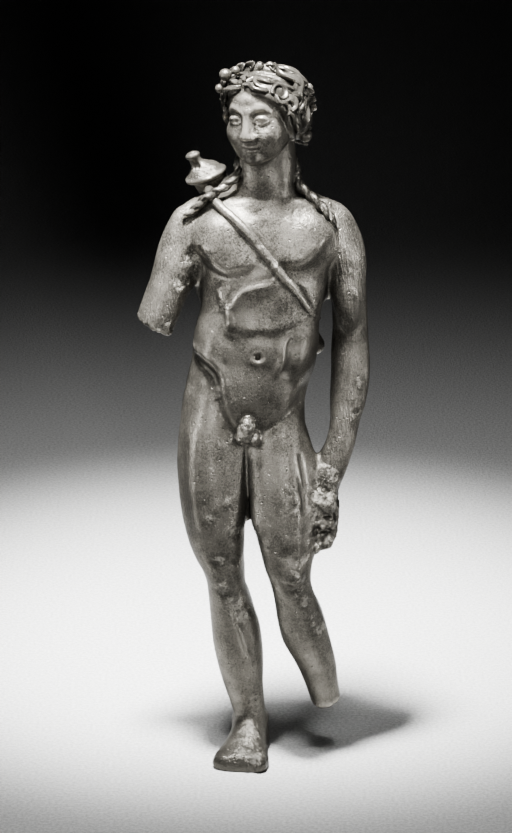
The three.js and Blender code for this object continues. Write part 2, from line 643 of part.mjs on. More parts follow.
// A wreath stands up like a hoop behind the front hair, with knobs of berries beside the temples.
function addWreath(form) {
  const ring = (angle) => {
    const rise = Math.cos(angle);
    return [wreathRadius * Math.sin(angle) - 0.3, 4.2 - 4.6 * rise, 2 + 7 * rise];
  };
  const turn = (i) => (i / leafCount) * 2 * Math.PI;
  const loop = Array.from({ length: leafCount + 1 }, (_, i) => outOf(headFrame, ring(turn(i))));
  form.join(rod(loop, loop.map(() => 0.85), 2), 0.4);
  for (let i = 0; i < leafCount; i++) {
    const from = outOf(headFrame, ring(turn(i)));
    const to = outOf(headFrame, times(ring(turn(i + 1.2)), 1.06));
    form.join(belly(from, to, 1.1, 0.7, sub(from, headFrame.origin)), 0.2);
  }
  const knobs = [
    [-4.6, -2.4, 153.7, 1.5],
    [-2.5, -2.6, 155.3, 1.2],
    [-5.4, -2, 151, 1.2],
    [12.3, 2, 151.8, 1.35],
    [2.9, -1, 157, 0.9],
    [5, -0.8, 157, 0.9],
  ];
  for (const [x, y, z, r] of knobs) form.join(egg([x, y, z], [r, r, r]), 0.4);
}

// The left hand is closed on the stub of a broken bow grip.
function addHand(form) {
  form.join(belly([19.2, -1.6, 72], [17.8, -1.6, 56], 3.7, 2.5, [1, 0, 0]), 1.5);
  form.join(egg([16.9, -1.4, 55.4], [2.3, 4, 3.4]), 0.6);
  const fingers = [
    [-4.6, 0, 1.25],
    [-2.2, -0.8, 1.3],
    [0.1, -0.3, 1.25],
    [2.2, 1.2, 1.1],
  ];
  for (const [y, lift, r] of fingers) {
    const path = [
      [19, y, 58.6 + lift],
      [18.2, y - 0.5, 53 + lift],
      [15.8, y - 0.7, 51.2 + lift],
      [14.9, y, 53.8 + lift],
    ];
    form.join(rod(path, [r, r, r * 0.95, r * 0.8]), 0.35);
  }
  const thumb = [[17.9, -4, 67.4], [16.4, -5.7, 63.4], [16.2, -6.6, 59.4], [15.8, -6.2, 56]];
  form.join(rod(thumb, [1.5, 1.45, 1.3, 1]), 0.5);
  form.join(rod([[14.9, -7.4, 51.6], [16.2, 4.2, 55.6]], [1.25, 1.25]), 0.3);
}

// The quiver lies slantwise across the back, with its lid above the right shoulder.
function addQuiver(form) {
  const mouth = [-8, 7.2, 130.6];
  const tip = [14.9, 9.2, 92.8];
  const lidAxis = unit([-0.34, -0.1, 0.93]);
  const across = unit(cross([0, -1, 0], lidAxis));
  const lidFrame = frameOf([-8.8, 6.4, 131.6], across, cross(lidAxis, across), lidAxis);
  const onLid = (p) => outOf(lidFrame, p);
  form.join(rod([mouth, tip], [quiverRadius, quiverRadius * 0.6]), 0.5);
  form.join(egg([0, 0, 0], [4.7, 4.3, 1.3], lidFrame), 0.3);
  form.join(egg([0, 0, 0.9], [3.4, 3.2, 1.8], lidFrame), 0.4);
  form.join(rod([[-0.3, 0, 1.8], [-0.6, 0, 3]].map(onLid), [1.4, 1.2]), 0.4);
  form.join(egg([-0.8, 0, 3.8], [1.9, 1.8, 1.6], lidFrame), 0.3);
}

// The strap runs from the lid over the right shoulder and slantwise over the chest. It thins out at the
// left flank, where it is corroded, and goes on round the back to the quiver.
function addStrap(form) {
  const path = [
    [-7.8, 4, 129],
    [-7.6, -0.6, 129],
    [-5.6, -5, 127.4],
    [-2.2, -7.6, 124.8],
    [1.2, -9.4, 121.6],
    [4.6, -9.8, 117.3],
    [8.2, -9.6, 113],
    [11.8, -8.4, 108.3],
    [14.4, -4, 104],
    [15.4, 1, 101],
    [12.6, 8, 98.6],
  ];
  const worn = (i) => Math.max(0, i - 6) / 4;
  const settled = path.map((p, i) => form.settle(p, strapRadius * mix(0.55, 0, worn(i))));
  form.join(rod(settled, settled.map((_, i) => strapRadius * mix(1.05, 0.7, worn(i)))), 0.3);
}

// A long twisted lock falls on each shoulder.
function addShoulderLocks(form) {
  const right = [
    [-0.4, 3.4, 138.4],
    [-1.6, -0.6, 136.4],
    [-3.4, -2.2, 133.4],
    [-6.7, -3.4, 131.2],
    [-9.9, -3.6, 129.2],
    [-12.1, -3.6, 127],
    [-14, -3.4, 124.6],
  ];
  const left = [
    [9.8, 3.4, 137],
    [10.8, 0, 134.8],
    [12.2, -2, 132.2],
    [14.2, -3, 129.8],
    [16.2, -3.8, 127.6],
    [18.1, -4.2, 125.4],
    [19.4, -4.2, 122.6],
  ];
  for (const path of [right, left]) {
    const settled = path.map((p, i) => (i < 2 ? p : form.settle(p, lockRadius * 0.5)));
    form.join(rod(settled, settled.map((_, i) => lockRadius * (i === 6 ? 0.7 : 1))), 0.3);
  }
}

// Rough stumps where the right arm and the left foot have broken away
function stump(point, away, radius) {
  const n = unit(away);
  return {
    middle: point,
    reach: radius,
    distance: (x, y, z) =>
      Math.max(-dot(sub([x, y, z], point), n), Math.hypot(...sub([x, y, z], point)) - radius),
  };
}

const figure = bareFigure();
for (const [shape, fillet] of muscles) figure.join(shape, fillet);
figure.carve(carving);
figure.cut(egg([2.5, -9.4, 94.6], [0.95, 2, 0.95]), 0.4);
figure.join(loft(skull, headFrame, 1.2), 1.2);
addFace(figure);
addHair(figure);
addWreath(figure);
addHand(figure);
addQuiver(figure);
addStrap(figure);
addShoulderLocks(figure);
figure.cut(stump([-20.5, -1, 99.6], [-0.447, 0, -0.894], 9.5), 0.8);
figure.cut(stump([17.7, 3.4, 10.9], [0.264, 0.25, -0.93], 8), 1.4);

const solidOf = (wasm, geometry) => {
  const bare = geometry.clone();
  for (const name of Object.keys(bare.attributes)) {
    if (name !== "position") bare.deleteAttribute(name);
  }
  const merged = mergeVertices(bare);
  return new wasm.Manifold(
    new wasm.Mesh({
      numProp: 3,
      vertProperties: merged.attributes.position.array,
      triVerts: new Uint32Array(merged.index.array),
    }),
  );
};

// The skin of a form, from the six tetrahedra of each grid cell, so that every edge has two faces.
// Blocks of the grid that lie well inside or well outside are not worked out point by point.
const blockSize = 4;
function sample(form, low, size, step) {
  const [nx, ny, nz] = size;
  const values = new Float32Array(nx * ny * nz);
  const skip = blockSize * step * 1.2;
  for (let bk = 0; bk < nz; bk += blockSize)
    for (let bj = 0; bj < ny; bj += blockSize)
      for (let bi = 0; bi < nx; bi += blockSize) {
        const half = (blockSize - 1) / 2;
        const rough = form.distance(
          low[0] + (bi + half) * step,
          low[1] + (bj + half) * step,
          low[2] + (bk + half) * step,
        );
        for (let k = bk; k < Math.min(nz, bk + blockSize); k++)
          for (let j = bj; j < Math.min(ny, bj + blockSize); j++)
            for (let i = bi; i < Math.min(nx, bi + blockSize); i++)
              values[i + nx * (j + ny * k)] =
                Math.abs(rough) > skip
                  ? rough
                  : form.distance(low[0] + i * step, low[1] + j * step, low[2] + k * step);
      }
  return values;
}

function skin(form, low, high, step) {
  const size = [0, 1, 2].map((i) => Math.ceil((high[i] - low[i]) / step) + 1);
  const [nx, ny, nz] = size;
  const values = sample(form, low, size, step);
  const corner = [0, 1, 2, 3, 4, 5, 6, 7].map(
    (c) => (c & 1) + nx * ((c >> 1) & 1) + nx * ny * (c >> 2),
  );
  const tetrahedra = [
    [0, 1, 3, 7],
    [0, 3, 2, 7],
    [0, 2, 6, 7],
    [0, 6, 4, 7],
    [0, 4, 5, 7],
    [0, 5, 1, 7],
  ];
  const positions = [];
  const vertexAt = new Map();
  const place = (n) => [n % nx, Math.floor(n / nx) % ny, Math.floor(n / (nx * ny))];
  const crossing = (a, b) => {
    const [p, q] = a < b ? [a, b] : [b, a];
    const key = p * 8 + corner.indexOf(q - p);
    if (!vertexAt.has(key)) {
      vertexAt.set(key, positions.length / 3);
      const t = Math.min(0.94, Math.max(0.06, values[p] / (values[p] - values[q])));
      const from = place(p);
      const to = place(q);
      for (let n = 0; n < 3; n++) positions.push(low[n] + mix(from[n], to[n], t) * step);
    }
    return vertexAt.get(key);
  };
  const index = [];
  for (let k = 0; k < nz - 1; k++)
    for (let j = 0; j < ny - 1; j++)
      for (let i = 0; i < nx - 1; i++) {
        const here = i + nx * (j + ny * k);
        const insideCorners = corner.filter((c) => values[here + c] < 0).length;
        if (insideCorners === 0 || insideCorners === 8) continue;
        for (const tetrahedron of tetrahedra) {
          const points = tetrahedron.map((c) => here + corner[c]);
          const inner = points.filter((n) => values[n] < 0);
          const outer = points.filter((n) => values[n] >= 0);
          if (!inner.length || !outer.length) continue;
          // The order of the four points tells which way round the face has to be wound.
          const order = [...inner, ...outer].map((n) => points.indexOf(n));
          const swaps = order.flatMap((m, at) => order.slice(at + 1).filter((n) => n < m)).length;
          const [a, b, c, d] = [...inner, ...outer];
          const ring =
            inner.length === 1
              ? [crossing(a, b), crossing(a, c), crossing(a, d)]
              : inner.length === 3
                ? [crossing(a, d), crossing(b, d), crossing(c, d)]
                : [crossing(a, c), crossing(a, d), crossing(b, d), crossing(b, c)];
          if (swaps % 2) ring.reverse();
          for (let n = 2; n < ring.length; n++) index.push(ring[0], ring[n - 1], ring[n]);
        }
      }
  return new THREE.BufferGeometry()
    .setAttribute("position", new THREE.Float32BufferAttribute(positions, 3))
    .setIndex(index);
}

// Only the outer skin is kept: small hollows sealed between the forms are filled.
function outerShell(geometry) {
  const index = [...geometry.index.array];
  const count = geometry.attributes.position.count;
  const leader = Int32Array.from({ length: count }, (_, i) => i);
  const find = (i) => {
    while (leader[i] !== i) i = leader[i] = leader[leader[i]];
    return i;
  };
  for (let n = 0; n < index.length; n += 3) {
    leader[find(index[n + 1])] = find(index[n]);
    leader[find(index[n + 2])] = find(index[n]);
  }
  const sizes = new Map();
  for (const i of index) sizes.set(find(i), (sizes.get(find(i)) ?? 0) + 1);
  const [largest] = [...sizes].sort((a, b) => b[1] - a[1])[0];
  return geometry.setIndex(index.filter((i) => find(i) === largest));
}

// Thinning keeps, for each vertex, the sum of squared distances to the planes that have met in it. The sum
// is a quadratic in the place of the vertex, held as ten numbers: xx, xy, xz, yy, yz, zz, x, y, z and 1.
function planeSums(positions, triangles, weightAt) {
  const sums = new Float64Array((positions.length / 3) * 10);
  const point = (i) => [positions[3 * i], positions[3 * i + 1], positions[3 * i + 2]];
  const gather = (i, [x, y, z], c, w) => {
    const terms = [x * x, x * y, x * z, y * y, y * z, z * z, x * c, y * c, z * c, c * c];
    for (let n = 0; n < 10; n++) sums[10 * i + n] += w * terms[n];
  };
  for (let n = 0; n < triangles.length; n += 3) {
    const corners = [triangles[n], triangles[n + 1], triangles[n + 2]];
    const [a, b, c] = corners.map(point);
    const normal = cross(sub(b, a), sub(c, a));
    const area = Math.hypot(...normal);
    if (area < 1e-12) continue;
    const n1 = times(normal, 1 / area);
    for (const i of corners) {
      const p = point(i);
      const w = area * weightAt(...p);
      gather(i, n1, -dot(n1, a), w);
      // A faint pull to where the vertex was keeps the triangles well shaped.
      const pull = w * 0.002;
      gather(i, [1, 0, 0], -p[0], pull);
      gather(i, [0, 1, 0], -p[1], pull);
      gather(i, [0, 0, 1], -p[2], pull);
    }
  }
  return sums;
}

// The best place for two vertices that become one, and what it costs
function meetingPoint(sums, a, b, q) {
  for (let n = 0; n < 10; n++) q[n] = sums[10 * a + n] + sums[10 * b + n];
  const [xx, xy, xz, yy, yz, zz, bx, by, bz, c] = q;
  const m0 = yy * zz - yz * yz;
  const m1 = xz * yz - xy * zz;
  const m2 = xy * yz - xz * yy;
  const whole = xx * m0 + xy * m1 + xz * m2;
  const x = -(m0 * bx + m1 * by + m2 * bz) / whole;
  const y = -(m1 * bx + (xx * zz - xz * xz) * by + (xy * xz - xx * yz) * bz) / whole;
  const z = -(m2 * bx + (xy * xz - xx * yz) * by + (xx * yy - xy * xy) * bz) / whole;
  return [x, y, z, bx * x + by * y + bz * z + c];
}

// One round of thinning folds the cheapest edges that don't touch each other. An edge is folded only where
// its ends share just two neighbours and no triangle turns over, so the skin stays one closed surface.
function foldRound(positions, sums, triangles, goal) {
  const count = positions.length / 3;
  const start = new Int32Array(count + 1);
  for (const v of triangles) start[v + 1]++;
  for (let i = 0; i < count; i++) start[i + 1] += start[i];
  const next = start.slice(0, count);
  const around = new Int32Array(triangles.length);
  triangles.forEach((v, n) => (around[next[v]++] = n - (n % 3)));
  const trianglesOf = (v) => around.subarray(start[v], start[v + 1]);
  const cornersAround = (v) =>
    [...trianglesOf(v)].flatMap((t) => [triangles[t], triangles[t + 1], triangles[t + 2]]);

  const ends = [];
  for (let n = 0; n < triangles.length; n++) {
    const b = triangles[n % 3 === 2 ? n - 2 : n + 1];
    if (triangles[n] < b) ends.push(triangles[n], b);
  }
  const q = new Float64Array(10);
  const places = new Float64Array(ends.length * 2);
  for (let e = 0; e < ends.length; e += 2) {
    places.set(meetingPoint(sums, ends[e], ends[e + 1], q), e * 2);
  }
  const costs = Float64Array.from({ length: ends.length / 2 }, (_, e) => places[e * 4 + 3]);
  const dearest = costs.slice().sort()[Math.floor(costs.length * 0.3)];
  const cheap = [...costs.keys()].filter((e) => costs[e] <= dearest);
  cheap.sort((a, b) => costs[a] - costs[b]);

  const touched = new Uint8Array(count);
  const seen = new Int32Array(count).fill(-1);
  const turnsOver = (v, other, place) => {
    for (const t of trianglesOf(v)) {
      const corners = [triangles[t], triangles[t + 1], triangles[t + 2]];
      if (corners.includes(other)) continue;
      const [a, b, c] = corners.map((i) => positions.subarray(3 * i, 3 * i + 3));
      const [d, e, f] = corners.map((i, n) => (i === v ? place : [a, b, c][n]));
      const before = cross(sub(b, a), sub(c, a));
      const after = cross(sub(e, d), sub(f, d));
      if (dot(before, after) < 0.25 * Math.hypot(...before) * Math.hypot(...after)) return true;
    }
    return false;
  };
  let left = triangles.length / 3;
  for (const e of cheap) {
    if (left <= goal) break;
    const a = ends[2 * e];
    const b = ends[2 * e + 1];
    if (touched[a] || touched[b]) continue;
    for (const v of cornersAround(a)) seen[v] = e;
    let shared = 0;
    for (const v of cornersAround(b)) {
      if (v === a || v === b || seen[v] !== e) continue;
      seen[v] = -1;
      shared++;
    }
    if (shared !== 2) continue;
    const place = places.subarray(4 * e, 4 * e + 3);
    if (turnsOver(a, b, place) || turnsOver(b, a, place)) continue;
    for (const v of [...cornersAround(a), ...cornersAround(b)]) touched[v] = 1;
    for (const t of trianglesOf(b)) {
      for (let n = t; n < t + 3; n++) if (triangles[n] === b) triangles[n] = a;
    }
    positions.set(place, 3 * a);
    for (let n = 0; n < 10; n++) sums[10 * a + n] += sums[10 * b + n];
    left -= 2;
  }
  return triangles.filter((_, n) => {
    const t = n - (n % 3);
    const [a, b, c] = [triangles[t], triangles[t + 1], triangles[t + 2]];
    return a !== b && b !== c && c !== a;
  });
}

function thinned(geometry, goal, weightAt) {
  const positions = Float64Array.from(geometry.attributes.position.array);
  let triangles = Int32Array.from(geometry.index.array);
  const sums = planeSums(positions, triangles, weightAt);
  for (let round = 0; round < 200 && triangles.length / 3 > goal; round++) {
    triangles = foldRound(positions, sums, triangles, goal);
  }
  return new THREE.BufferGeometry()
    .setAttribute("position", new THREE.Float32BufferAttribute(positions, 3))
    .setIndex(Array.from(triangles));
}

const wasm = await Module();
wasm.setup();
// The whole figure leans a little to its right, over the standing foot.
const slant = Math.tan(radians(bodyLean));
const standing = { distance: (x, y, z) => figure.distance(x + slant * z, y, z) };
const dense = skin(standing, [-30, -17, -6], [31, 19, 164], meshStep);
const isFine = (x, y, z) => z > chinHeight - 1 || (x > 13 && z < gripTop);
const lean = thinned(outerShell(dense), triangleGoal, (x, y, z) => (isFine(x, y, z) ? 5 : 1));
let body = solidOf(wasm, lean);
const ground = new THREE.BoxGeometry(120, 120, 20).translate(0, 0, -10);
body = body.subtract(solidOf(wasm, ground));
const mesh = body.getMesh();
const geometry = outerShell(
  new THREE.BufferGeometry()
    .setAttribute("position", new THREE.BufferAttribute(mesh.vertProperties, 3))
    .setIndex(new THREE.BufferAttribute(mesh.triVerts, 1)),
);
geometry.computeVertexNormals();

const bronze = new THREE.MeshStandardMaterial({ color: 0x5d564b, roughness: 0.45, metalness: 0.85 });
const statuette = new THREE.Mesh(geometry, bronze);
statuette.name = "apollo_statuette";
const group = new THREE.Group();
group.add(statuette);
export default group;
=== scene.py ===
# %% [markdown]
# # A small bronze statuette of a nude archer god
# The real object is one solid casting, about 160 mm tall, buried for centuries and then cleaned.
# The CAD frame gives its size, its stance and its main forms. Here the same forms are sampled far
# more finely, the hair, the wreath and the long locks are carved out strand by strand, and the skin
# gets the pits, file marks and patches of an old bronze.

# %% Frame and units
import math
from concurrent.futures import ThreadPoolExecutor

import bpy
import numpy as np
import mathutils.kdtree
from mathutils import Matrix, Vector


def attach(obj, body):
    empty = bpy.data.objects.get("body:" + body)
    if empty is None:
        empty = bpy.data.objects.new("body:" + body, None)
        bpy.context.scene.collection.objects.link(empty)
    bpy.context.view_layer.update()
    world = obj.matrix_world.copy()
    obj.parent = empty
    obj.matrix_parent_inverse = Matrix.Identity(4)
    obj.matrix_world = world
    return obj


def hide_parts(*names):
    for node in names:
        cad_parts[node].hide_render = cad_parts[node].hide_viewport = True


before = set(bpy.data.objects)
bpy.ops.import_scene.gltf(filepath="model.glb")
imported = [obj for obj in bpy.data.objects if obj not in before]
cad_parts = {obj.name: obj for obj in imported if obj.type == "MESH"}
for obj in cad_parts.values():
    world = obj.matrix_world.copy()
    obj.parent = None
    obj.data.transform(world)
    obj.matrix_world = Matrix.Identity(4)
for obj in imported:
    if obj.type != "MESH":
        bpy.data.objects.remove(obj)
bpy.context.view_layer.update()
MM = 0.001


def add_object(name, data):
    thing = bpy.data.objects.new(name, data)
    bpy.context.scene.collection.objects.link(thing)
    return thing


# %% [markdown]
# ## The camera
# A camera is a place, a target and a lens. The statuette was photographed from a little above and
# from far away, so a long lens is used: it keeps the foot and the head at the same scale. A camera
# may also be rolled by a fraction of a degree, and a small figure seldom stands quite upright in
# the picture. The focal length is counted in pixels of the picture, and then turned into millimetres
# of Blender's sensor, which spans the longer side.

# %% Camera
picture_size = (512, 833)
sensor_mm = 36
focal_pixels = 3660
camera_elevation = math.radians(17)
camera_distance = 800
camera_target = Vector((1.36, 0, 78.9))
camera_roll = math.radians(0.5)

toward_camera = Vector((0, -math.cos(camera_elevation), math.sin(camera_elevation)))
across = Vector((1, 0, 0))
upward = toward_camera.cross(across)
right = across * math.cos(camera_roll) + upward * math.sin(camera_roll)
top = upward * math.cos(camera_roll) - across * math.sin(camera_roll)
camera_data = bpy.data.cameras.new("camera")
camera_data.lens = focal_pixels / max(picture_size) * sensor_mm
camera_data.sensor_width = sensor_mm
camera_data.clip_start = 0.01
camera = add_object("camera", camera_data)
turn = Matrix((right, top, toward_camera)).transposed()
place = (camera_target + toward_camera * camera_distance) * MM
camera.matrix_world = Matrix.LocRotScale(place, turn.to_quaternion(), None)
bpy.context.scene.camera = camera
print("lens", round(camera_data.lens, 1), "mm, camera at", [round(v, 3) for v in place])

# %% [markdown]
# ## Shapes as distances
# A figure has no edges to extrude and no profile to spin. It is easiest to describe as a distance:
# a function that says, for any point, how far outside or inside the metal it is. Two such functions
# are joined by taking the smaller one, and a small fillet between them gives the soft transitions
# of a wax model. Everything below works on thousands of points at once, in millimetres.

# %% Frames and blends
def unit(vector):
    return np.asarray(vector, float) / np.linalg.norm(vector)


class Axes:
    """A place and three axes, which are the columns of the matrix."""

    def __init__(self, origin=(0, 0, 0), columns=np.eye(3)):
        self.origin = np.array(origin, float)
        self.columns = np.array(columns, float)

    def out(self, points):
        return self.origin + np.asarray(points, float) @ self.columns.T

    def into(self, points):
        return (points - self.origin) @ self.columns


def turned_axes(origin, turn, nod, lean):
    z, x, y = (Matrix.Rotation(math.radians(a), 3, k) for a, k in ((turn, "Z"), (nod, "X"), (lean, "Y")))
    return Axes(origin, z @ x @ y)


def blend_out(a, b, fillet):
    overlap = np.maximum(fillet - np.abs(a - b), 0)
    return np.minimum(a, b) - overlap * overlap / (4 * fillet)


def blend_in(a, b, fillet):
    return -blend_out(-a, -b, fillet)


def mix(a, b, t):
    return a + (b - a) * t


world = Axes()
far_away = 1e3
print("a blend of 1 and 1 with a fillet of 0.4 is", blend_out(1.0, 1.0, 0.4))

# %% [markdown]
# ## Eggs, bellies and rods
# Three shapes make nearly all of the body. An egg has three radii. A muscle belly is an egg
# stretched between two points with its flatter side outward. A rod follows a smooth path and has a
# radius at each point. Each one also gives the box that holds it, so that far points are skipped.

# %% Eggs, bellies and rods
class Shape:
    def __init__(self, distance, low, high):
        self.distance = distance
        self.low = np.asarray(low, float)
        self.high = np.asarray(high, float)


def egg(centre, radii, axes=world):
    middle = axes.out(centre)
    radii = np.array(radii, float)
    reach = np.sqrt(((axes.columns * radii) ** 2).sum(1))

    def distance(p):
        q = ((p - middle) @ axes.columns) / radii
        k0 = np.sqrt((q * q).sum(1))
        q /= radii
        k1 = np.sqrt((q * q).sum(1)) + 1e-9
        return k0 * (k0 - 1) / k1

    return Shape(distance, middle - reach, middle + reach)


def belly(start, end, width, depth, outward=(0, -1, 0)):
    start, end, outward = (np.array(v, float) for v in (start, end, outward))
    w = unit(end - start)
    v = unit(outward - w * (outward @ w))
    axes = Axes((start + end) / 2, np.column_stack((np.cross(v, w), v, w)))
    return egg((0, 0, 0), (width, depth, np.linalg.norm(end - start) / 2), axes)


def cubic(b, c, m1, m2, t):
    """The point at t on the cubic from b to c that leaves with slope m1 and arrives with m2."""
    cube = 2 * b - 2 * c + m1 + m2
    square = -3 * b + 3 * c - 2 * m1 - m2
    return ((cube * t + square) * t + m1) * t + b


def smooth_path(points, steps):
    """Points on a centripetal Catmull-Rom curve through the given ones, and where each one is."""
    points = np.array(points, float)
    padded = np.vstack((2 * points[0] - points[1], points, 2 * points[-1] - points[-2]))
    places, along = [], []
    for i in range(len(points) - 1):
        a, b, c, d = padded[i : i + 4]
        g0, g1, g2 = (max(np.linalg.norm(q - p), 1e-4) ** 0.5 for p, q in ((a, b), (b, c), (c, d)))
        m1 = ((b - a) / g0 - (c - a) / (g0 + g1) + (c - b) / g1) * g1
        m2 = ((c - b) / g1 - (d - b) / (g1 + g2) + (d - c) / g2) * g1
        for t in np.arange(steps) / steps:
            places.append(cubic(b, c, m1, m2, t))
            along.append(i + t)
    return np.array(places + [points[-1]]), np.array(along + [len(points) - 1.0])


def rod(points, radii, steps=5):
    line, along = smooth_path(points, steps)
    sizes = np.interp(along, np.arange(len(radii)), radii)

    def distance(p):
        best = np.full(len(p), far_away)
        for a, b, ra, rb in zip(line, line[1:], sizes, sizes[1:]):
            span = b - a
            q = p - a
            t = np.clip(q @ span / (span @ span), 0, 1)
            q -= t[:, None] * span
            np.minimum(best, np.sqrt((q * q).sum(1)) - mix(ra, rb, t), out=best)
        return best

    thick = max(radii)
    return Shape(distance, line.min(0) - thick, line.max(0) + thick)


print("eggs, bellies and rods are ready")

# %% [markdown]
# ## Lofts
# The trunk and the limbs are given by level cross-sections, as a tailor would measure them. Each
# row holds the level, then the left, middle and right of the width, then the front, middle and back
# of the depth. Each quarter of a section is part of an oval, so a calf can bulge to one side only.

# %% Lofts
def smooth_run(rows, column, levels):
    """A cubic run through one column of the rows, which need not be evenly spaced."""
    x, y = rows[:, 0], rows[:, column]
    before = np.maximum(np.arange(len(x)) - 1, 0)
    after = np.minimum(np.arange(len(x)) + 1, len(x) - 1)
    slope = (y[after] - y[before]) / (x[after] - x[before])
    i = np.clip(np.searchsorted(x, levels, side="left") - 1, 0, len(x) - 2)
    gap = x[i + 1] - x[i]
    t = np.clip((levels - x[i]) / gap, 0, 1)
    s = 1 - t
    ends = s * s * (1 + 2 * t) * y[i] + t * t * (1 + 2 * s) * y[i + 1]
    return ends + s * s * t * gap * slope[i] - t * t * s * gap * slope[i + 1]


def loft(rows, axes=world, cap_round=1.5, fullness=2):
    rows = np.array(sorted(rows), float)
    bottom, top_level = rows[0, 0], rows[-1, 0]
    levels = np.linspace(bottom, top_level, 161)
    tables = [smooth_run(rows, column, levels) for column in range(1, 7)]

    def distance(p):
        q = axes.into(p)
        left, mid_a, right_edge, front, mid_b, back = (np.interp(q[:, 2], levels, c) for c in tables)
        da = q[:, 0] - mid_a
        db = q[:, 1] - mid_b
        qa = np.abs(da) / np.where(da < 0, mid_a - left, right_edge - mid_a)
        qb = np.abs(db) / np.where(db < 0, mid_b - front, back - mid_b)
        ratio = (qa**fullness + qb**fullness) ** (1 / fullness)
        inmost = -np.minimum(mid_a - left, mid_b - front)
        side = np.where(ratio < 1e-6, inmost, np.hypot(da, db) * (1 - 1 / np.maximum(ratio, 1e-6)))
        end = np.maximum(q[:, 2] - top_level, bottom - q[:, 2])
        return blend_in(side, end, cap_round)

    sides = (rows[:, 1].min(), rows[:, 3].max()), (rows[:, 4].min(), rows[:, 6].max())
    corners = [(a, b, c) for a in sides[0] for b in sides[1] for c in (bottom, top_level)]
    corners = axes.out(np.array(corners))
    return Shape(distance, corners.min(0), corners.max(0))


print("lofts are ready")

# %% [markdown]
# ## Carving strokes
# The lines of the chest, the ribs, the belly and the groins were cut into the wax with a tool. A
# stroke is a curve seen straight on. A furrow is pressed in along it, and a step raises one side.

# %% Carving strokes
def stroke(points, width, furrow, step=0, beyond=0, facing=-1):
    points = np.array(points, float)
    padded = np.vstack((points[0], points, points[-1]))
    line = []
    for i in range(len(points) - 1):
        a, b, c, d = padded[i : i + 4]
        line += [cubic(b, c, (c - a) / 2, (d - b) / 2, t) for t in np.arange(6) / 6]
    line = np.array(line + [points[-1]])
    count = len(line) - 1

    def lift(p):
        shown = np.clip(facing * (p[:, 1] - beyond) / 3, 0, 1)
        flat = p[:, (0, 2)]
        nearest = np.full(len(p), far_away)
        side = np.zeros(len(p))
        along = np.zeros(len(p))
        for i in range(count):
            span = line[i + 1] - line[i]
            q = flat - line[i]
            t = np.clip(q @ span / (span @ span), 0, 1)
            o = q - t[:, None] * span
            d = np.sqrt((o * o).sum(1))
            closer = d < nearest
            nearest = np.where(closer, d, nearest)
            side = np.where(closer, np.sign(span[0] * o[:, 1] - span[1] * o[:, 0]) * d, side)
            along = np.where(closer, (i + t) / count, along)
        fade = np.minimum(1, np.minimum(5 * along, 5 * (1 - along)))
        s = side / width
        bell = np.exp(-s * s)
        return shown * fade * (furrow * bell - step * s * np.exp(0.5 - s * s / 2))

    margin = width * 2.6
    low, high = line.min(0) - margin, line.max(0) + margin
    return Shape(lift, (low[0], -60, low[1]), (high[0], 60, high[1]))


print("strokes are ready")

# %% [markdown]
# ## A form is a list of steps
# The wax is built up in order: join a shape, cut one away, or carve a stroke. For each step only
# the points near its box are worked out, which is what makes the whole figure quick.

# %% Form
reach_margin = 3


class Form:
    def __init__(self):
        self.steps = []

    def join(self, shape, fillet=1.5):
        self.steps.append(("join", shape, fillet))

    def join_all(self, pairs):
        for shape, fillet in pairs:
            self.join(shape, fillet)

    def cut(self, shape, fillet=0.5):
        self.steps.append(("cut", shape, fillet))

    def carve(self, shape):
        self.steps.append(("carve", shape, 0))

    def distance(self, points, slack=0):
        d = np.full(len(points), far_away)
        low, high = points.min(0), points.max(0)
        for kind, shape, fillet in self.steps:
            margin = reach_margin + slack + fillet
            if (shape.low - margin > high).any() or (shape.high + margin < low).any():
                continue
            inside = (points > shape.low - margin) & (points < shape.high + margin)
            near = np.flatnonzero(inside.all(1))
            if kind == "carve":
                near = near[np.abs(d[near]) < reach_margin]
            if not len(near):
                continue
            found = shape.distance(points[near])
            if kind == "join":
                d[near] = blend_out(d[near], found, fillet)
            elif kind == "cut":
                d[near] = blend_in(d[near], -found, fillet)
            else:
                d[near] += found
        return d

    def slope(self, points, h=0.05):
        shifts = np.eye(3) * h
        ends = [self.distance(points + s) - self.distance(points - s) for s in shifts]
        found = np.column_stack(ends)
        return found / (np.linalg.norm(found, axis=1, keepdims=True) + 1e-9)

    def settle(self, points, height):
        """Moves points straight in or out until they are a given height above the skin."""
        p = np.array(points, float)
        for _ in range(12):
            p += self.slope(p) * (height - self.distance(p))[:, None]
        return p


print("a form has steps, a distance and a slope")

# %% [markdown]
# ## The trunk, the neck, the limbs and the foot
# The weight is on the right leg, so the right hip is high and the left shoulder is high too. The
# figure is a little flatter from front to back than from side to side, as cast statuettes are.

# %% Cross-sections of the body
trunk = [
  [73.5, -8.5, -1.3, 7.5, -4.5, 1.5, 8.5],
  [78, -13.2, -2.2, 11.8, -7.4, 1, 10.6],
  [83, -13.6, -2.6, 12.5, -8.4, 1, 10.8],
  [88, -12.8, -1.8, 13.9, -8.7, 1, 9.6],
  [93, -11.6, -1.1, 14.6, -8.7, 0.8, 8.2],
  [98, -10.4, -0.1, 15.5, -8.5, 0.6, 7.2],
  [103, -10, 0.5, 16.2, -8.7, 0.6, 7.6],
  [108, -9.8, 1, 17.3, -9.2, 0.8, 8.8],
  [113, -9.6, 1.6, 18.2, -9.6, 1.2, 9.8],
  [118, -10.4, 2.2, 19, -9.2, 1.6, 10],
  [122, -11.2, 2.8, 19.6, -7.8, 1.8, 9.6],
  [126, -10, 3.6, 17.6, -5.4, 2, 8],
  [129, -4.4, 4.3, 12.4, -3.6, 2, 6.2],
]

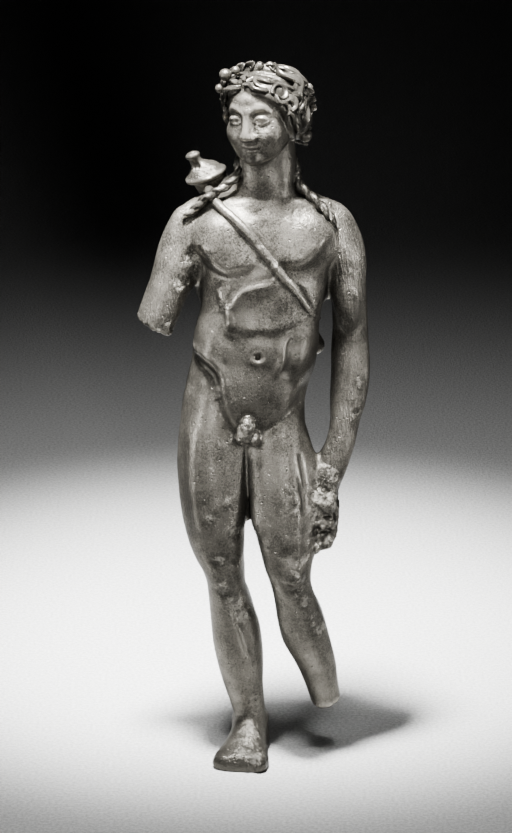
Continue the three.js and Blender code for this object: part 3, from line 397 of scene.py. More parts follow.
neck = [
  [124, -2.6, 4.8, 12.2, -3.6, 2.4, 8],
  [131, -2, 4.6, 11, -4.4, 1.8, 7.2],
  [136, -2, 4.3, 10.5, -4.6, 1.2, 6.8],
  [143, -2.1, 4.1, 10.2, -4.6, 1, 6.8],
]

right_arm = [
  [124.5, -15, -12.4, -9.4, -1.6, 2.2, 6.4],
  [118, -17.6, -13.2, -9, -3, 1.9, 6.8],
  [114, -19.1, -14.5, -10, -3.7, 1.4, 6.3],
  [109.5, -20.9, -15.9, -11.2, -4.1, 0.8, 5.6],
  [105.3, -22.5, -17.7, -13.1, -4.4, 0.2, 4.8],
  [101, -23.9, -19.3, -15, -4.5, -0.3, 4],
  [95, -25.2, -21.2, -17.3, -4.6, -0.8, 3.2],
]

left_arm = [
  [124.5, 15.6, 19, 21.6, -1.4, 2.2, 6],
  [119, 17, 20.5, 23.6, -2.9, 2.5, 7],
  [115, 18.2, 21.4, 24.6, -3, 2.9, 7.4],
  [111, 18.5, 21.9, 25.4, -2.6, 3.1, 7.4],
  [106.5, 18.4, 22.2, 26, -1.8, 3.3, 7.4],
  [99.5, 18.7, 22.5, 26.4, -0.6, 3.8, 7.9],
  [96, 18.6, 22.6, 26.6, -1.2, 3.8, 8],
  [92.5, 18.4, 22.4, 26.5, -2.4, 3, 7.4],
  [88.5, 18.4, 22.3, 26.2, -3.2, 2, 6.6],
  [83, 18.2, 21.9, 25.5, -3.8, 1, 5.4],
  [78, 18.2, 21.4, 24.6, -4.1, 0, 4],
  [74, 17.4, 20.6, 23.9, -4.3, -0.8, 2.8],
  [69, 14.9, 18.6, 22.4, -4.9, -1.6, 2],
  [66, 14.5, 18, 21.4, -5.4, -1.4, 2.8],
  [62.5, 14.3, 17.2, 20.1, -5.8, -1.2, 3.6],
  [58, 14.3, 17, 19.6, -5.8, -1, 3.8],
  [53.5, 14.3, 16.6, 18.8, -5, -0.8, 3.4],
  [50, 14.6, 16.4, 18, -3.8, -0.6, 2.6],
]

right_leg = [
  [86, -12, -7.5, -2.5, -6.4, 0.5, 9],
  [80, -14, -8, -1.6, -7.4, 0.8, 10.2],
  [75, -14.8, -8.1, -1.2, -7.8, 0.8, 9.8],
  [69, -15, -7.9, -0.6, -8.1, 0.4, 8.4],
  [64, -14.7, -7.8, -0.5, -8.1, 0, 7.7],
  [59.6, -14.2, -7.5, -0.6, -7.9, -0.3, 7],
  [55, -13.4, -7.1, -0.9, -7.5, -0.5, 6.2],
  [50.4, -12.2, -6.5, -0.8, -6.9, -0.7, 5.3],
  [45.8, -10.6, -5.4, -0.5, -6.4, -0.7, 4.6],
  [41.2, -9, -4.6, -0.3, -5.7, -0.4, 4.7],
  [36.1, -8.4, -3.8, 1, -4.4, 0.4, 5.7],
  [31, -8, -3.2, 2.7, -3.5, 1.2, 7.2],
  [26, -7.6, -2.6, 3.4, -2.7, 2, 8.1],
  [21, -6.7, -1.7, 3.7, -1.8, 2.7, 8.2],
  [16, -5.5, -0.9, 3.6, -0.9, 3.4, 7.8],
  [11, -3.9, 0, 3.9, 0.1, 4.1, 8],
  [6.5, -2.7, 0.8, 4.3, 0.2, 4.6, 8.6],
  [1, -2.9, 0.9, 4.7, 0.4, 4.8, 8.9],
]

left_leg = [
  [86, 2.5, 7.5, 12.2, -6.2, 0.3, 8.8],
  [80, 1.2, 6.8, 12.3, -7.2, 0.4, 9.6],
  [74, 1.2, 7.2, 12.9, -8.4, -0.2, 8.8],
  [69.3, 1.2, 7.9, 13.8, -9.2, -1.2, 7],
  [65, 1.3, 8.1, 14.1, -9.8, -2.1, 5.8],
  [60.6, 1.2, 8.2, 14.4, -10.4, -3, 4.6],
  [56, 1.4, 7.9, 14.4, -10.8, -3.8, 3.3],
  [52, 2.4, 8.4, 14.3, -11, -4.6, 1.8],
  [48.7, 3.6, 8.9, 14.1, -11, -5.1, 0.7],
  [45.4, 4.2, 9.2, 14.1, -10.9, -5.4, -0.2],
  [42, 5.2, 9.8, 14.3, -9.9, -5.2, 0],
  [37.7, 6.1, 10.8, 15.6, -8.4, -4, 2],
  [32.5, 6.8, 11.9, 17.3, -7, -2.4, 4.3],
  [27, 8, 13.2, 18.7, -5.4, -0.6, 5.9],
  [21.8, 10.6, 15, 19.8, -3.6, 0.9, 6.5],
  [16.4, 12.8, 16.6, 20.4, -1.8, 2.4, 6.8],
  [11.8, 14.2, 17.7, 21.1, -0.5, 3.6, 7.4],
  [6, 15.8, 19.1, 22.3, 1.2, 5.1, 8.8],
]

foot_length = 24.5
toe_out = math.radians(7)
foot = [
  [-foot_length / 2, -2.4, 0, 2.5, -4, 1, 3.4],
  [-10.4, -3.3, 0, 3.5, -4, 1.6, 6.4],
  [-7, -3.8, 0.1, 3.9, -4, 1.8, 8.6],
  [-2, -4, 0.2, 4.5, -4, 1, 9],
  [2, -4.7, 0.4, 5.1, -4, 0.8, 7.1],
  [6, -5.8, 0.3, 5.9, -2.4, 1, 5.4],
  [9, -6.3, 0.1, 6.2, -1.9, 1.2, 4.3],
  [11.2, -5.9, 0.1, 5.8, -1.6, 1.2, 3.8],
  [foot_length / 2, -4.8, 0.2, 4.8, -1, 1.2, 3.2],
]


def flattened(rows, share):
    """The same rows with each depth drawn in towards its middle."""
    return [[*row[:4], mix(row[5], row[4], share), row[5], mix(row[5], row[6], share)] for row in rows]


out, ahead = math.sin(toe_out), math.cos(toe_out)
foot_axes = Axes((-0.2, 0, 0), np.column_stack(((ahead, -out, 0), (0, 0, 1), (-out, -ahead, 0))))
lofts = [
    (loft(trunk), 2),
    (loft(neck), 3),
    (loft(flattened(right_leg, 1.09)), 1.6),
    (loft(flattened(left_leg, 0.87)), 1.6),
    (loft(right_arm), 3.6),
    (loft(flattened(left_arm, 0.82)), 3.2),
    (loft(foot, foot_axes, 2.4), 2),
]
figure = Form()
figure.join_all(lofts)
toes = [(-4.7, 9.2, 1.05), (-2.5, 10.4, 1.1), (-0.3, 11, 1.15), (1.8, 11.2, 1.2), (4.2, 11, 1.6)]
for side, length, size in toes:
    toe = foot_axes.out([(side, 2, 8), (side, 2.3, length - 1.2), (side, 1.4, length)])
    figure.join(rod(toe, [size * 0.8, size, size]), 0.5)
print("trunk and limbs take", len(figure.steps), "steps")

# %% [markdown]
# ## Muscles
# Each muscle that shows on the bronze is one egg or belly, blended in with a wide fillet, so that
# the surface swells instead of showing a ball.

# %% Muscles
muscles = [
    # chest and shoulders
    (egg([-3.2, -3.1, 119.4], [8.2, 5.7, 6.8]), 3),
    (egg([12, -2.9, 119.6], [7.8, 5.2, 6.6]), 3),
    (belly([-11.2, 2.4, 125.4], [-17.4, 1.8, 109], 4.5, 4, [-1, 0, 0.3]), 2.5),
    (belly([18.4, 2.2, 125.6], [23.6, 3.2, 109.5], 4.5, 4, [1, 0, 0.3]), 2.5),
    (rod([[3, 4.6, 134.2], [-2, 4.6, 129.6], [-10, 4.2, 124.6]], [2.8, 2.7, 2.4]), 2.4),
    (rod([[6.6, 4.6, 133], [11, 4.4, 127.8], [17.6, 4, 123.8]], [2.7, 2.6, 2.3]), 2.4),
    (rod([[3.6, -3.9, 126.8], [-2.4, -2.8, 127.2], [-9.5, -0.4, 127]], [0.9, 0.9, 1]), 2),
    (rod([[6.4, -3.9, 126.8], [11.8, -2.8, 127.4], [17.2, -0.4, 127]], [0.9, 0.9, 1]), 2),
    (egg([5, -2.4, 123.2], [4.6, 4.6, 4.4]), 3),
    (rod([[6.2, -3.3, 128], [7.2, -2.4, 132.4], [8, -0.4, 137]], [0.8, 1, 1]), 3.5),
    # back
    (belly([-10.2, 5.4, 119.5], [-6.5, 5.8, 100], 3.6, 3.6, [-0.7, 1, 0]), 2.5),
    (belly([18.6, 4.6, 119.5], [13.8, 5, 102], 3.2, 2.6, [0.7, 1, 0]), 2.5),
    (belly([-7.5, 7.4, 124], [-3.4, 8.6, 112.5], 3.8, 1.6, [0, 1, 0]), 3.6),
    (belly([17, 6.6, 123.5], [12.8, 7.6, 112.5], 3.6, 1.3, [0, 1, 0]), 3.6),
    (rod([[2, 7.6, 116], [0.4, 5.9, 100], [-2.6, 6.8, 88]], [2, 2.2, 2]), 2),
    (rod([[7.2, 7.6, 116], [5.6, 5.9, 100], [1.8, 6.8, 88]], [2, 2.2, 2]), 2),
    (egg([-7.4, 7, 80.4], [6.6, 6.6, 8]), 2),
    (egg([5.8, 5.2, 79.6], [6.4, 5.2, 7.6]), 2),
    # belly and flanks
    (egg([3.2, -4, 97], [7.2, 5, 13]), 2.2),
    (egg([0.9, -3.8, 86.5], [8.2, 5.1, 7.5]), 2.2),
    (egg([-6, -0.4, 96.6], [4.9, 7.4, 6]), 3),
    (egg([10.4, -0.8, 94.6], [4.3, 6, 6.4]), 3),
    (egg([0.3, -4.6, 79.8], [3.8, 3, 3.4]), 2),
    # right leg
    (belly([-8.4, -2.8, 84], [-5.9, -3.6, 45], 5, 4.8, [-0.2, -1, 0]), 2.4),
    (belly([-11, -0.6, 78], [-8.8, -2, 46], 3.4, 4.2, [-1, 0, 0]), 2.4),
    (belly([-2.9, -2.6, 58], [-3.6, -3.2, 44.5], 2.4, 2.9, [0.3, -1, 0]), 1.8),
    (egg([-5, -4.4, 43.4], [2.2, 1.9, 2.6]), 1),
    (belly([-6.4, 6, 78], [-5.4, 3.2, 42], 4.8, 3, [0, 1, 0]), 2),
    (belly([-1.6, 4, 40], [0.9, 6.4, 17], 2.3, 3, [0.5, 1, 0]), 1.8),
    (belly([-5, 3.6, 40], [-3.2, 6.4, 19], 2.3, 3, [-0.5, 1, 0]), 1.8),
    (egg([3.9, 4.8, 6.8], [1, 1.5, 1.5]), 1),
    (egg([-2.3, 5.4, 5.8], [1, 1.5, 1.5]), 1),
    # left leg
    (belly([7.6, -3.4, 84], [9.2, -7.6, 45], 4.8, 4, [0.1, -1, 0]), 2.4),
    (belly([10.8, -1.2, 78], [11.9, -6, 46], 3.1, 4.2, [1, 0, 0]), 2.4),
    (belly([5.2, -5.6, 58], [6.4, -7.8, 44.5], 2.4, 2.9, [-0.3, -1, 0]), 1.8),
    (egg([10.2, -9.3, 45.6], [2.3, 1.9, 2.7]), 1),
    (belly([7.2, 3.2, 76], [9.2, -1.8, 43], 4.4, 2.4, [0, 1, 0]), 2),
    (belly([10, -0.4, 40], [12.8, 4.4, 20], 2.3, 2.8, [-0.4, 1, 0.2]), 1.8),
    (belly([13.4, -0.8, 39], [16.9, 4.2, 20], 2.3, 2.8, [0.5, 1, 0.2]), 1.8),
    # inner thighs, and the metal left between them
    (rod([[-2.6, -4.4, 76], [-2.5, -4.8, 66], [-2.6, -4.4, 57]], [2, 2.1, 1.6]), 3),
    (rod([[3, -4.8, 75], [3.4, -6, 66], [3.4, -6.8, 57]], [2, 2.1, 1.6]), 3),
    (rod([[0.35, 2.6, 78], [0.3, 1.4, 66], [0.35, 0.4, 56.2]], [1.4, 1.3, 1.1]), 2.4),
    # arms
    (belly([20.8, -0.8, 117], [22.4, 0.2, 98], 2.7, 2.4, [0, -1, 0]), 2),
    (belly([22.6, 5.2, 117], [22.8, 6, 99], 2.9, 2, [0, 1, 0]), 2),
    (belly([23.9, 1.6, 98], [23, -0.6, 79], 2.4, 3.2, [1, -0.3, 0]), 2),
    (belly([-14.6, -1.8, 117], [-19.2, -2.4, 97], 3, 2.4, [0, -1, 0]), 2),
    (egg([-11.2, 2, 112.6], [2, 3.4, 3]), 1.6),
    (belly([-15, 4.2, 117], [-19.4, 2.4, 97], 3, 2.2, [0, 1, 0]), 2),
    # sex
    (egg([0.3, -9, 79.4], [1.5, 1.8, 2.2]), 0.5),
    (egg([-0.9, -8.1, 76.8], [1.5, 1.9, 1.9]), 0.5),
    (egg([1.5, -8, 76.4], [1.5, 1.9, 1.9]), 0.5),
]
figure.join_all(muscles)
print(len(muscles), "muscles")

# %% [markdown]
# ## Lines cut into the wax
# Chest, rib arch, belly, hips, groins, knees, and the furrow of the spine at the back.

# %% Carving of the body
carving = [
    # points, width, furrow, step, how far back it reaches, and the side it faces
    # chest
    (
        [[-10.4, 119], [-9.3, 116.6], [-6.8, 114], [-4.4, 112.9], [-1.6, 113.8], [3.4, 115.6]],
        1.3, 0.35, 0.45,
    ),
    ([[6.4, 116.4], [9.8, 114.5], [13.2, 115.2], [16.6, 118.8], [18.6, 122.4]], 1.4, 0.35, 0.4),
    ([[4.9, 125], [4.6, 120.5], [4.7, 115]], 1.6, 0.35),
    ([[-10.6, 118.4], [-9, 117.4], [-7.8, 115.2]], 0.6, 0.35),
    # arch of the ribs
    ([[-4.2, 103], [-3.2, 106.6], [-1.2, 109.5], [2.5, 110.9], [7.2, 111.8]], 0.8, -0.32, -0.25),
    ([[7, 111.4], [10.4, 109.6], [12.6, 106.6], [13.4, 103]], 1.4, 0.3, 0.3),
    ([[-5.8, 110.4], [-5, 107], [-3.8, 103.5], [-3.6, 100.4]], 0.9, -0.6),
    # belly
    ([[-3.4, 100.4], [0.6, 100], [4.6, 100], [8.4, 100.6], [12, 101.8]], 1.2, 0.12, 0.2),
    ([[3.7, 109], [3, 105.5], [2.5, 97.5]], 1.3, 0.3),
    ([[9.4, 100], [8, 97.2], [7.8, 94], [6.2, 90]], 0.8, -0.5),
    ([[11.4, 99.4], [10.4, 96.4], [9.8, 93], [9.2, 89.6]], 1.3, 0.3, 0.2),
    ([[-4.6, 100], [-5.6, 96.4], [-5.6, 91]], 2, 0.25, -0.2),
    # hips and groins
    ([[-13, 94.8], [-10.6, 93.8], [-7.8, 92], [-6.2, 89.6], [-5.6, 85.6]], 1.1, 0.5, 0.55),
    ([[-5.8, 87], [-5, 82.6], [-3.4, 79], [-1.6, 76.6]], 1.2, 0.45, 0.3),
    ([[14.6, 91], [12.8, 87.6], [10.8, 84.4], [8.6, 81.6], [5.8, 79], [3, 76.8]], 1.5, 0.4, -0.3),
    # knees and shin
    ([[-8.6, 46.8], [-5.2, 48.4], [-2, 46.6]], 1.4, 0.28),
    ([[-7.6, 41.4], [-5, 39.8], [-2.4, 41.4]], 1.6, 0.16),
    ([[-3.4, 36.4], [-2.3, 31.8], [-0.8, 27], [0.2, 22]], 0.7, -0.5),
    ([[7, 49.2], [10.4, 50.8], [13.4, 49]], 1.4, 0.28, 0, -4),
    ([[7.6, 43.4], [10.2, 41.8], [12.8, 43.4]], 1.2, 0.3, 0, -4),
    ([[9.8, 67], [11, 61.6], [11.2, 55.9], [11, 49]], 0.9, -0.4, 0, -3),
    ([[11.2, 73], [12, 69], [12.8, 63.5]], 0.5, 0.4, 0, -3),
    ([[10.8, 68], [12, 64], [12.5, 59]], 0.5, 0.35, 0, -3),
    ([[-11.2, 79], [-11.6, 71], [-11.4, 63], [-10, 54]], 1.2, -0.5),
    ([[11.4, 40], [12.8, 34], [14.6, 27], [16.6, 20]], 0.8, -0.3, 0, -1),
    # back
    ([[4.9, 127], [4.7, 118], [4, 108], [2, 96], [0, 88]], 1.5, 0.9, 0, 3, 1),
    ([[-0.3, 85.6], [-0.9, 80], [-0.6, 72.6]], 1.6, 1.3, 0, 2, 1),
    ([[-13, 74.4], [-8, 72.4], [-2, 72.6]], 1.7, 0.55, 0, 3, 1),
    ([[0.6, 72.4], [6, 71.8], [11.6, 73.4]], 1.7, 0.55, 0, 3, 1),
]
for row in carving:
    figure.carve(stroke(*row))
# the navel and the swelling below it
figure.join(egg([2.4, -8.7, 94], [1.5, 0.8, 0.7]), 0.6)
figure.cut(egg([2.5, -9.9, 94.9], [0.85, 1.6, 1]), 0.35)
casting_lumps = [
    (-6.2, -9, 48.2, 1.3), (-5.3, -9, 41.6, 1), (-3.6, -8, 37.8, 0.9), (11, -14, 46.2, 1.3),
    (13.6, -12, 37.2, 1.1), (16, -9, 32.4, 0.9),
]
for x, y, z, size in casting_lumps:
    seat = figure.settle([(x, y, z)], -0.1)[0]
    figure.join(egg(seat, [size, 0.32, size * 0.5]), 0.5)
print(len(carving), "strokes and", len(casting_lumps), "lumps")

# %% [markdown]
# ## The head
# The head has its own axes, turned to the figure's right, nodded forward and leant a little, so
# that a nose is simply in front of a face. The face follows the rule that drawing books give: eyes
# half way up the head, nose and mouth dividing the lower half in three, one eye's width between
# the eyes.

# %% Skull and hair cap
head_axes = turned_axes((3.5, -1, 147.7), -24, 5, -5)
skull = [
    [-10.2, -1.9, 0, 1.9, -7.6, -5.6, -3.4],
    [-9.2, -3.9, 0, 3.9, -8, -5, -1],
    [-7.6, -5.3, 0, 5.3, -8.1, -4, 2],
    [-5.6, -6.2, 0, 6.2, -8.1, -2, 5.4],
    [-3.4, -6.7, 0, 6.7, -8.2, -0.5, 8],
    [-1, -6.8, 0, 6.8, -8.1, 1, 9.4],
    [1.5, -7.1, 0, 7.1, -8.3, 1.2, 10],
    [4, -7.1, 0, 7.1, -8, 1.3, 9.8],
    [5.8, -6.3, 0, 6.3, -6.4, 1.4, 8.8],
    [7, -4.6, 0, 4.6, -4, 1.4, 6.8],
    [7.9, -2.2, 0, 2.2, -1.4, 1.4, 4],
]
hair_cap = [
    [-8.8, -4.2, 0, 4.6, 4.2, 6.6, 9.4],
    [-6.6, -6.6, 0, 6.8, 1.8, 5, 10.8],
    [-3, -7.6, 0, 7.6, 0, 4, 11.2],
    [0, -8, 0, 7.8, -2.6, 3, 11],
    [3, -8, 0, 7.7, -4.6, 2, 10.6],
    [5.2, -7.2, 0, 7, -6, 1.4, 9.4],
    [6.9, -5.6, 0, 5.4, -4.8, 1.2, 7.8],
    [7.9, -3.4, 0, 3.4, -2.4, 1.6, 5.4],
]
figure.join(loft(skull, head_axes, 1.2), 1.2)
print("the head is at", head_axes.origin, "mm")

# %% Face
def on_head(points):
    return head_axes.out(np.array(points, float))


def thread(points, radii, height=0.0, fillet=0.3, cut=False):
    """A thin rod laid on the skin of the figure so far, given in the head's axes."""
    laid = rod(figure.settle(on_head(points), height), radii)
    if cut:
        figure.cut(laid, fillet)
    else:
        figure.join(laid, fillet)


for side in (-1, 1):
    figure.cut(egg((side * 3, -9.25, -0.1), (2.2, 1.25, 1.5), head_axes), 1.1)
    figure.join(egg((side * 3.4, -6, -3.6), (2.4, 1.8, 2.6), head_axes), 2.6)
    figure.join(egg((side * 2.95, -6.6, -0.35), (1.6, 1.5, 1.2), head_axes), 0.4)
    upper = [(1.5, -7.4, -0.45), (2.1, -8.2, 0.3), (2.95, -8.3, 0.55), (3.8, -7.9, 0.3), (4.5, -7.1, -0.4)]
    lower = [(1.5, -7.4, -0.5), (2.2, -8, -0.95), (3, -8, -1.15), (3.8, -7.6, -0.9), (4.5, -7.1, -0.45)]
    brow = [(1.1, -8.2, 1.75), (2.5, -8.3, 2.25), (4, -7.8, 2.2), (5.5, -6.8, 1.4)]
    thread([(side * u, v, w) for u, v, w in upper], [0.16, 0.26, 0.3, 0.26, 0.16], 0.1, 0.3)
    thread([(side * u, v, w) for u, v, w in lower], [0.12, 0.16, 0.18, 0.16, 0.12], 0.04, 0.3)
    thread([(side * u, v, w) for u, v, w in brow], [0.25, 0.4, 0.4, 0.25], -0.08, 1.2)
    figure.cut(egg((side * 2.9, -8.5, -0.3), (0.42, 0.4, 0.42), head_axes), 0.15)
    figure.join(egg((side * 1, -8.85, -3.8), (0.75, 0.8, 0.65), head_axes), 0.5)
figure.join(rod(on_head([(0, -8, 1.6), (0, -8.9, -1), (0, -9.8, -3.4)]), [0.6, 0.7, 0.85]), 1.5)
for side in (-1, 1):
    figure.cut(egg((side * 0.55, -9.5, -4.35), (0.28, 0.5, 0.3), head_axes), 0.15)
    figure.join(egg((side * 0.65, -7.85, -6), (1, 0.68, 0.4), head_axes), 0.4)
figure.join(egg((0, -7.8, -6.95), (1.15, 0.72, 0.46), head_axes), 0.4)
mouth = [(-1.8, -7.9, -6.4), (-0.8, -8.4, -6.45), (0, -8.5, -6.5), (0.8, -8.4, -6.45), (1.8, -7.9, -6.4)]
thread(mouth, [0.12, 0.18, 0.18, 0.18, 0.12], 0.02, 0.25, cut=True)
figure.join(egg((0, -7.2, -9.1), (1.9, 1.45, 1.3), head_axes), 1.2)
print("the face is done")

# %% [markdown]
# ## Hair, wreath and long locks, as solid forms
# The casting holds the bulk of the hair: a cap, a roll at the nape and the hoop that carries the
# wreath. The curls themselves are modelled afterwards on top of it. A path over the scalp is given
# like a path on a globe, by longitude from the parting and latitude up from the ears.

# %% Hair cap, nape roll and hoop
def on_scalp(path):
    """Points over the hair from (longitude, latitude) pairs; longitude 0 is above the nose."""
    lon, lat = np.radians(np.array(path, float)).T
    u = 8.2 * np.cos(lat) * np.sin(lon)
    v = 1.5 - 9.6 * np.cos(lat) * np.cos(lon)
    return on_head(np.column_stack((u, v, 8.8 * np.sin(lat))))


def hoop_point(angle):
    rise = np.cos(angle)
    return np.stack((8.4 * np.sin(angle) - 0.3, 4.4 - 3.4 * rise, 2 + 6.3 * rise), axis=-1)


figure.join(loft(hair_cap, head_axes, 1.5, 2.2), 0.8)
nape_roll = [(-7, 6.4, -5.2), (-4, 9.4, -5.8), (0, 10.4, -6.4), (4, 8.8, -7), (6.6, 5.6, -7.4)]
figure.join(rod(on_head(nape_roll), [1.5, 1.9, 2, 1.9, 1.5]), 0.6)
hoop = on_head(hoop_point(np.linspace(0, 2 * math.pi, 27)))
figure.join(rod(hoop, [1.3 if n % 3 else 0.85 for n in range(len(hoop))], 2), 0.4)
for side in (-1, 1):
    start, end = on_head([(side * 5.9, -2.6, 5.4), (side * 7.3, 1.8, -5.6)])
    figure.join(belly(start, end, 2.9, 1.5, on_head((side, -0.4, 0)) - head_axes.origin), 0.6)
fringe = [
    (-66, 21), (-40, 33), (-25, 39), (-13, 45), (3, 41), (17, 34),
    (32, 29), (46, 19), (56, 7), (61, -7), (69, -28), (97, -53),
]
fringe_radii = [0.5, 0.7, 0.75, 0.6, 0.7, 0.75, 0.8, 0.8, 0.8, 0.8, 0.7, 0.6]
figure.join(rod(figure.settle(on_scalp(fringe), 0.1), fringe_radii), 0.5)
valley_angles = np.radians([-55, -25, 5, 35, 65])
valley = [(7.4 * math.sin(a), 1 - 3.4 * math.cos(a), 2 + 6 * math.cos(a)) for a in valley_angles]
figure.cut(rod(figure.settle(on_head(valley), 0.5), [0.7, 1.1, 1.3, 1.3, 0.8]), 0.5)
knobs = [
    (-4.4, -2.2, 155.2, 1.35), (-2.2, -2.4, 156.2, 0.95), (-5.6, -1.8, 152.2, 1),
    (13.2, 2, 151.6, 1.1), (2.9, -1, 157, 0.9), (5, -0.8, 157, 0.9),
]
for x, y, z, radius in knobs:
    figure.join(egg((x, y, z), (radius, radius, radius)), 0.4)
print("hair cap, nape roll, hoop and", len(knobs), "knobs")

# %% [markdown]
# ## The left fist
# The fingers are bent round the stub of a bow grip that has broken off on both sides.

# %% Fist
for y, lift, radius in ((-2.4, -0.6, 1.25), (-0.1, -0.3, 1.25), (2, 1.2, 1.1)):
    finger = np.array([(19.2, y, 59.6), (18.4, y - 0.5, 53), (15.8, y - 0.7, 50.8), (14.9, y, 53.8)])
    figure.join(rod(finger + (0, 0, lift), [radius, radius, radius * 0.95, radius * 0.8]), 0.2)
figure.join(rod([(15.2, -6, 51), (16.2, 4.2, 55.6)], [1.25, 1.25]), 0.2)
knuckles = [
    (17.2, -3.7, 66.2, 2.2, 1.7, 3), (16.2, -5.3, 61.2, 2, 1.6, 2.9),
    (18.4, -4.7, 60.6, 1.4, 1.6, 2.4), (16.4, -5.3, 56.2, 1.9, 1.4, 1.5),
    (18.5, -4.2, 56.6, 1.2, 1.5, 1.8), (17.3, -4.8, 52, 1.8, 1.5, 2),
    (15.3, -5, 50.8, 1.1, 1.1, 1.7),
]
for x, y, z, *radii in knuckles:
    figure.join(egg((x, y, z), radii), 0.8)
holes = [(15.4, -6.8, 65.4, 0.6, 0.9, 0.9), (15.4, -6.4, 54.6, 0.8, 1, 1), (16.5, -6.4, 50, 0.5, 0.9, 1)]
for x, y, z, *radii in holes:
    figure.cut(egg((x, y, z), radii), 0.3)
print("the fist is done")

# %% [markdown]
# ## Quiver, strap and long locks
# The quiver lies slantwise on the back. Its lid stands above the right shoulder. The strap runs
# from there over the chest, and thins out on the left flank, where it is eaten away.

# %% Quiver
quiver_radius = 3.7
lid_up = unit((-0.34, -0.1, 0.93))
lid_across = unit(np.cross((0, -1, 0), lid_up))
lid_axes = Axes((-8.8, 6.4, 131.6), np.column_stack((lid_across, np.cross(lid_up, lid_across), lid_up)))
figure.join(rod([(-8, 7.2, 130.6), (14.9, 9.2, 92.8)], [quiver_radius, quiver_radius * 0.6]), 0.5)
lid = [
    (egg((0, 0, 0), (4.7, 4.3, 1.3), lid_axes), 0.3),
    (egg((0, 0, 0.9), (3.5, 3.3, 1.7), lid_axes), 0.6),
    (rod(lid_axes.out([(0.2, 0, 0.8), (0.9, 0, 2.6)]), [2.6, 1.4]), 0.6),
    (egg((1, 0, 3.4), (1.35, 1.3, 2), lid_axes), 0.4),
    (egg((1.2, -0.1, 4.9), (1.6, 1.5, 0.85), lid_axes), 0.3),
]
figure.join_all(lid)
figure.cut(egg((1.1, 1.5, 3.1), (0.75, 0.7, 1.2), lid_axes), 0.2)
print("the quiver's lid is at", np.round(lid_axes.origin, 1))

# %% Strap
strap_radius = 1.05
strap_path = [
    (-7.8, 4, 129), (-7.6, -0.6, 129), (-5.6, -5, 127.4), (-2.2, -7.6, 124.8), (1.2, -9.4, 121.6),
    (4.6, -9.8, 117.3), (8.2, -9.6, 113), (11.2, -8.5, 108.6), (13.5, -4.6, 104.4), (15.4, 1, 101),
    (12.6, 8, 98.6),
]
worn = np.clip((np.arange(len(strap_path)) - 5) / 4, 0, 1)
strap = figure.settle(strap_path, strap_radius * mix(0.6, 0.05, worn))
figure.join(rod(strap, strap_radius * mix(0.92, 0.28, worn)), 0.15)
print("the strap is", round(np.linalg.norm(np.diff(strap, axis=0), axis=1).sum(), 1), "mm long")

# %% Long locks on the shoulders
lock_radius = 0.98
right_lock = [
    (-0.4, 3.4, 138.4), (-1.6, -0.6, 136.4), (-3.4, -2.2, 133.4), (-6.7, -3.4, 131.2),
    (-9.9, -3.6, 129.2), (-12.1, -3.6, 127), (-14, -3.4, 124.6),
]
left_lock = [
    (9.8, 3.4, 137), (10.8, 0, 134.8), (12.2, -2, 132.2), (14.2, -3, 129.8), (16.2, -3.8, 127.6),
    (18.1, -4.2, 125.4), (19.4, -4.2, 122.6),
]
long_locks = []
for path in (right_lock, left_lock):
    laid = np.vstack((path[:2], figure.settle(path[2:], lock_radius * 0.7)))
    long_locks.append(laid)
    figure.join(rod(laid, lock_radius * np.array([0.8] * 6 + [0.5])), 0.3)
print(len(long_locks), "long locks")

# %% [markdown]
# ## Broken ends
# The right arm broke below its middle and the left foot at the ankle. A break is a flat cut here;
# its rough grain comes later, when the skin is worked.

# %% Breaks
def broken_end(point, away, radius):
    point, away = np.array(point, float), unit(away)

    def distance(p):
        q = p - point
        return np.maximum(-(q @ away), np.sqrt((q * q).sum(1)) - radius)

    return Shape(distance, point - radius, point + radius)


arm_break, arm_away = (-20.5, -1, 99.6), (-0.447, 0, -0.894)
ankle_break, ankle_away = (17.7, 3.4, 10.9), (0.264, 0.25, -0.93)
figure.cut(broken_end(arm_break, arm_away, 9.5), 0.8)
figure.cut(broken_end(ankle_break, ankle_away, 8), 1.4)
print(len(figure.steps), "steps in all")

# %% [markdown]
# ## From a distance to a skin
# The distance is sampled on a grid, but only near the surface: large blocks that lie well inside or
# outside are skipped, then smaller ones. Each grid cell that the skin passes through gets one
# point, and each grid edge that it crosses gets one four-sided face. The whole figure leans half a
# degree to its right, which brings its weight over the standing foot.

# %% Sampling
cell = 0.34
block = 8
grid_low = np.array((-28.0, -15.0, -5.5 * cell))
grid_high = np.array((29.5, 16.5, 160.5))
body_slant = math.tan(math.radians(0.5))


def standing(points, slack=0):
    leant = points.copy()
    leant[:, 0] += body_slant * points[:, 2]
    return np.maximum(figure.distance(leant, slack), -points[:, 2])


def spread(values, times):
    return values.repeat(times, 0).repeat(times, 1).repeat(times, 2)


def sample_slab(bottom):
    """Distances for one slab of the grid: first for its blocks, then for smaller ones, then for points."""
    near = np.ones((*block_counts[:2], 1), bool)
    found = np.zeros(near.shape)
    for size in (block, block // 2, 1):
        chosen = np.argwhere(near)
        middle = chosen * size + (size - 1) / 2 + (0, 0, bottom)
        found[near] = standing(grid_low + middle * cell, size * cell)
        if size > 1:
            smaller = 2 if size == block else size
            near = spread(np.abs(found) < size * cell, smaller)
            found = spread(found, smaller)
    return found


block_counts = np.ceil((grid_high - grid_low) / (cell * block)).astype(int)
with ThreadPoolExecutor() as pool:
    values = np.concatenate(list(pool.map(sample_slab, range(0, block_counts[2] * block, block))), axis=2)
print("a grid of", values.shape, "points,", int((values < 0).sum()), "of them in the metal")


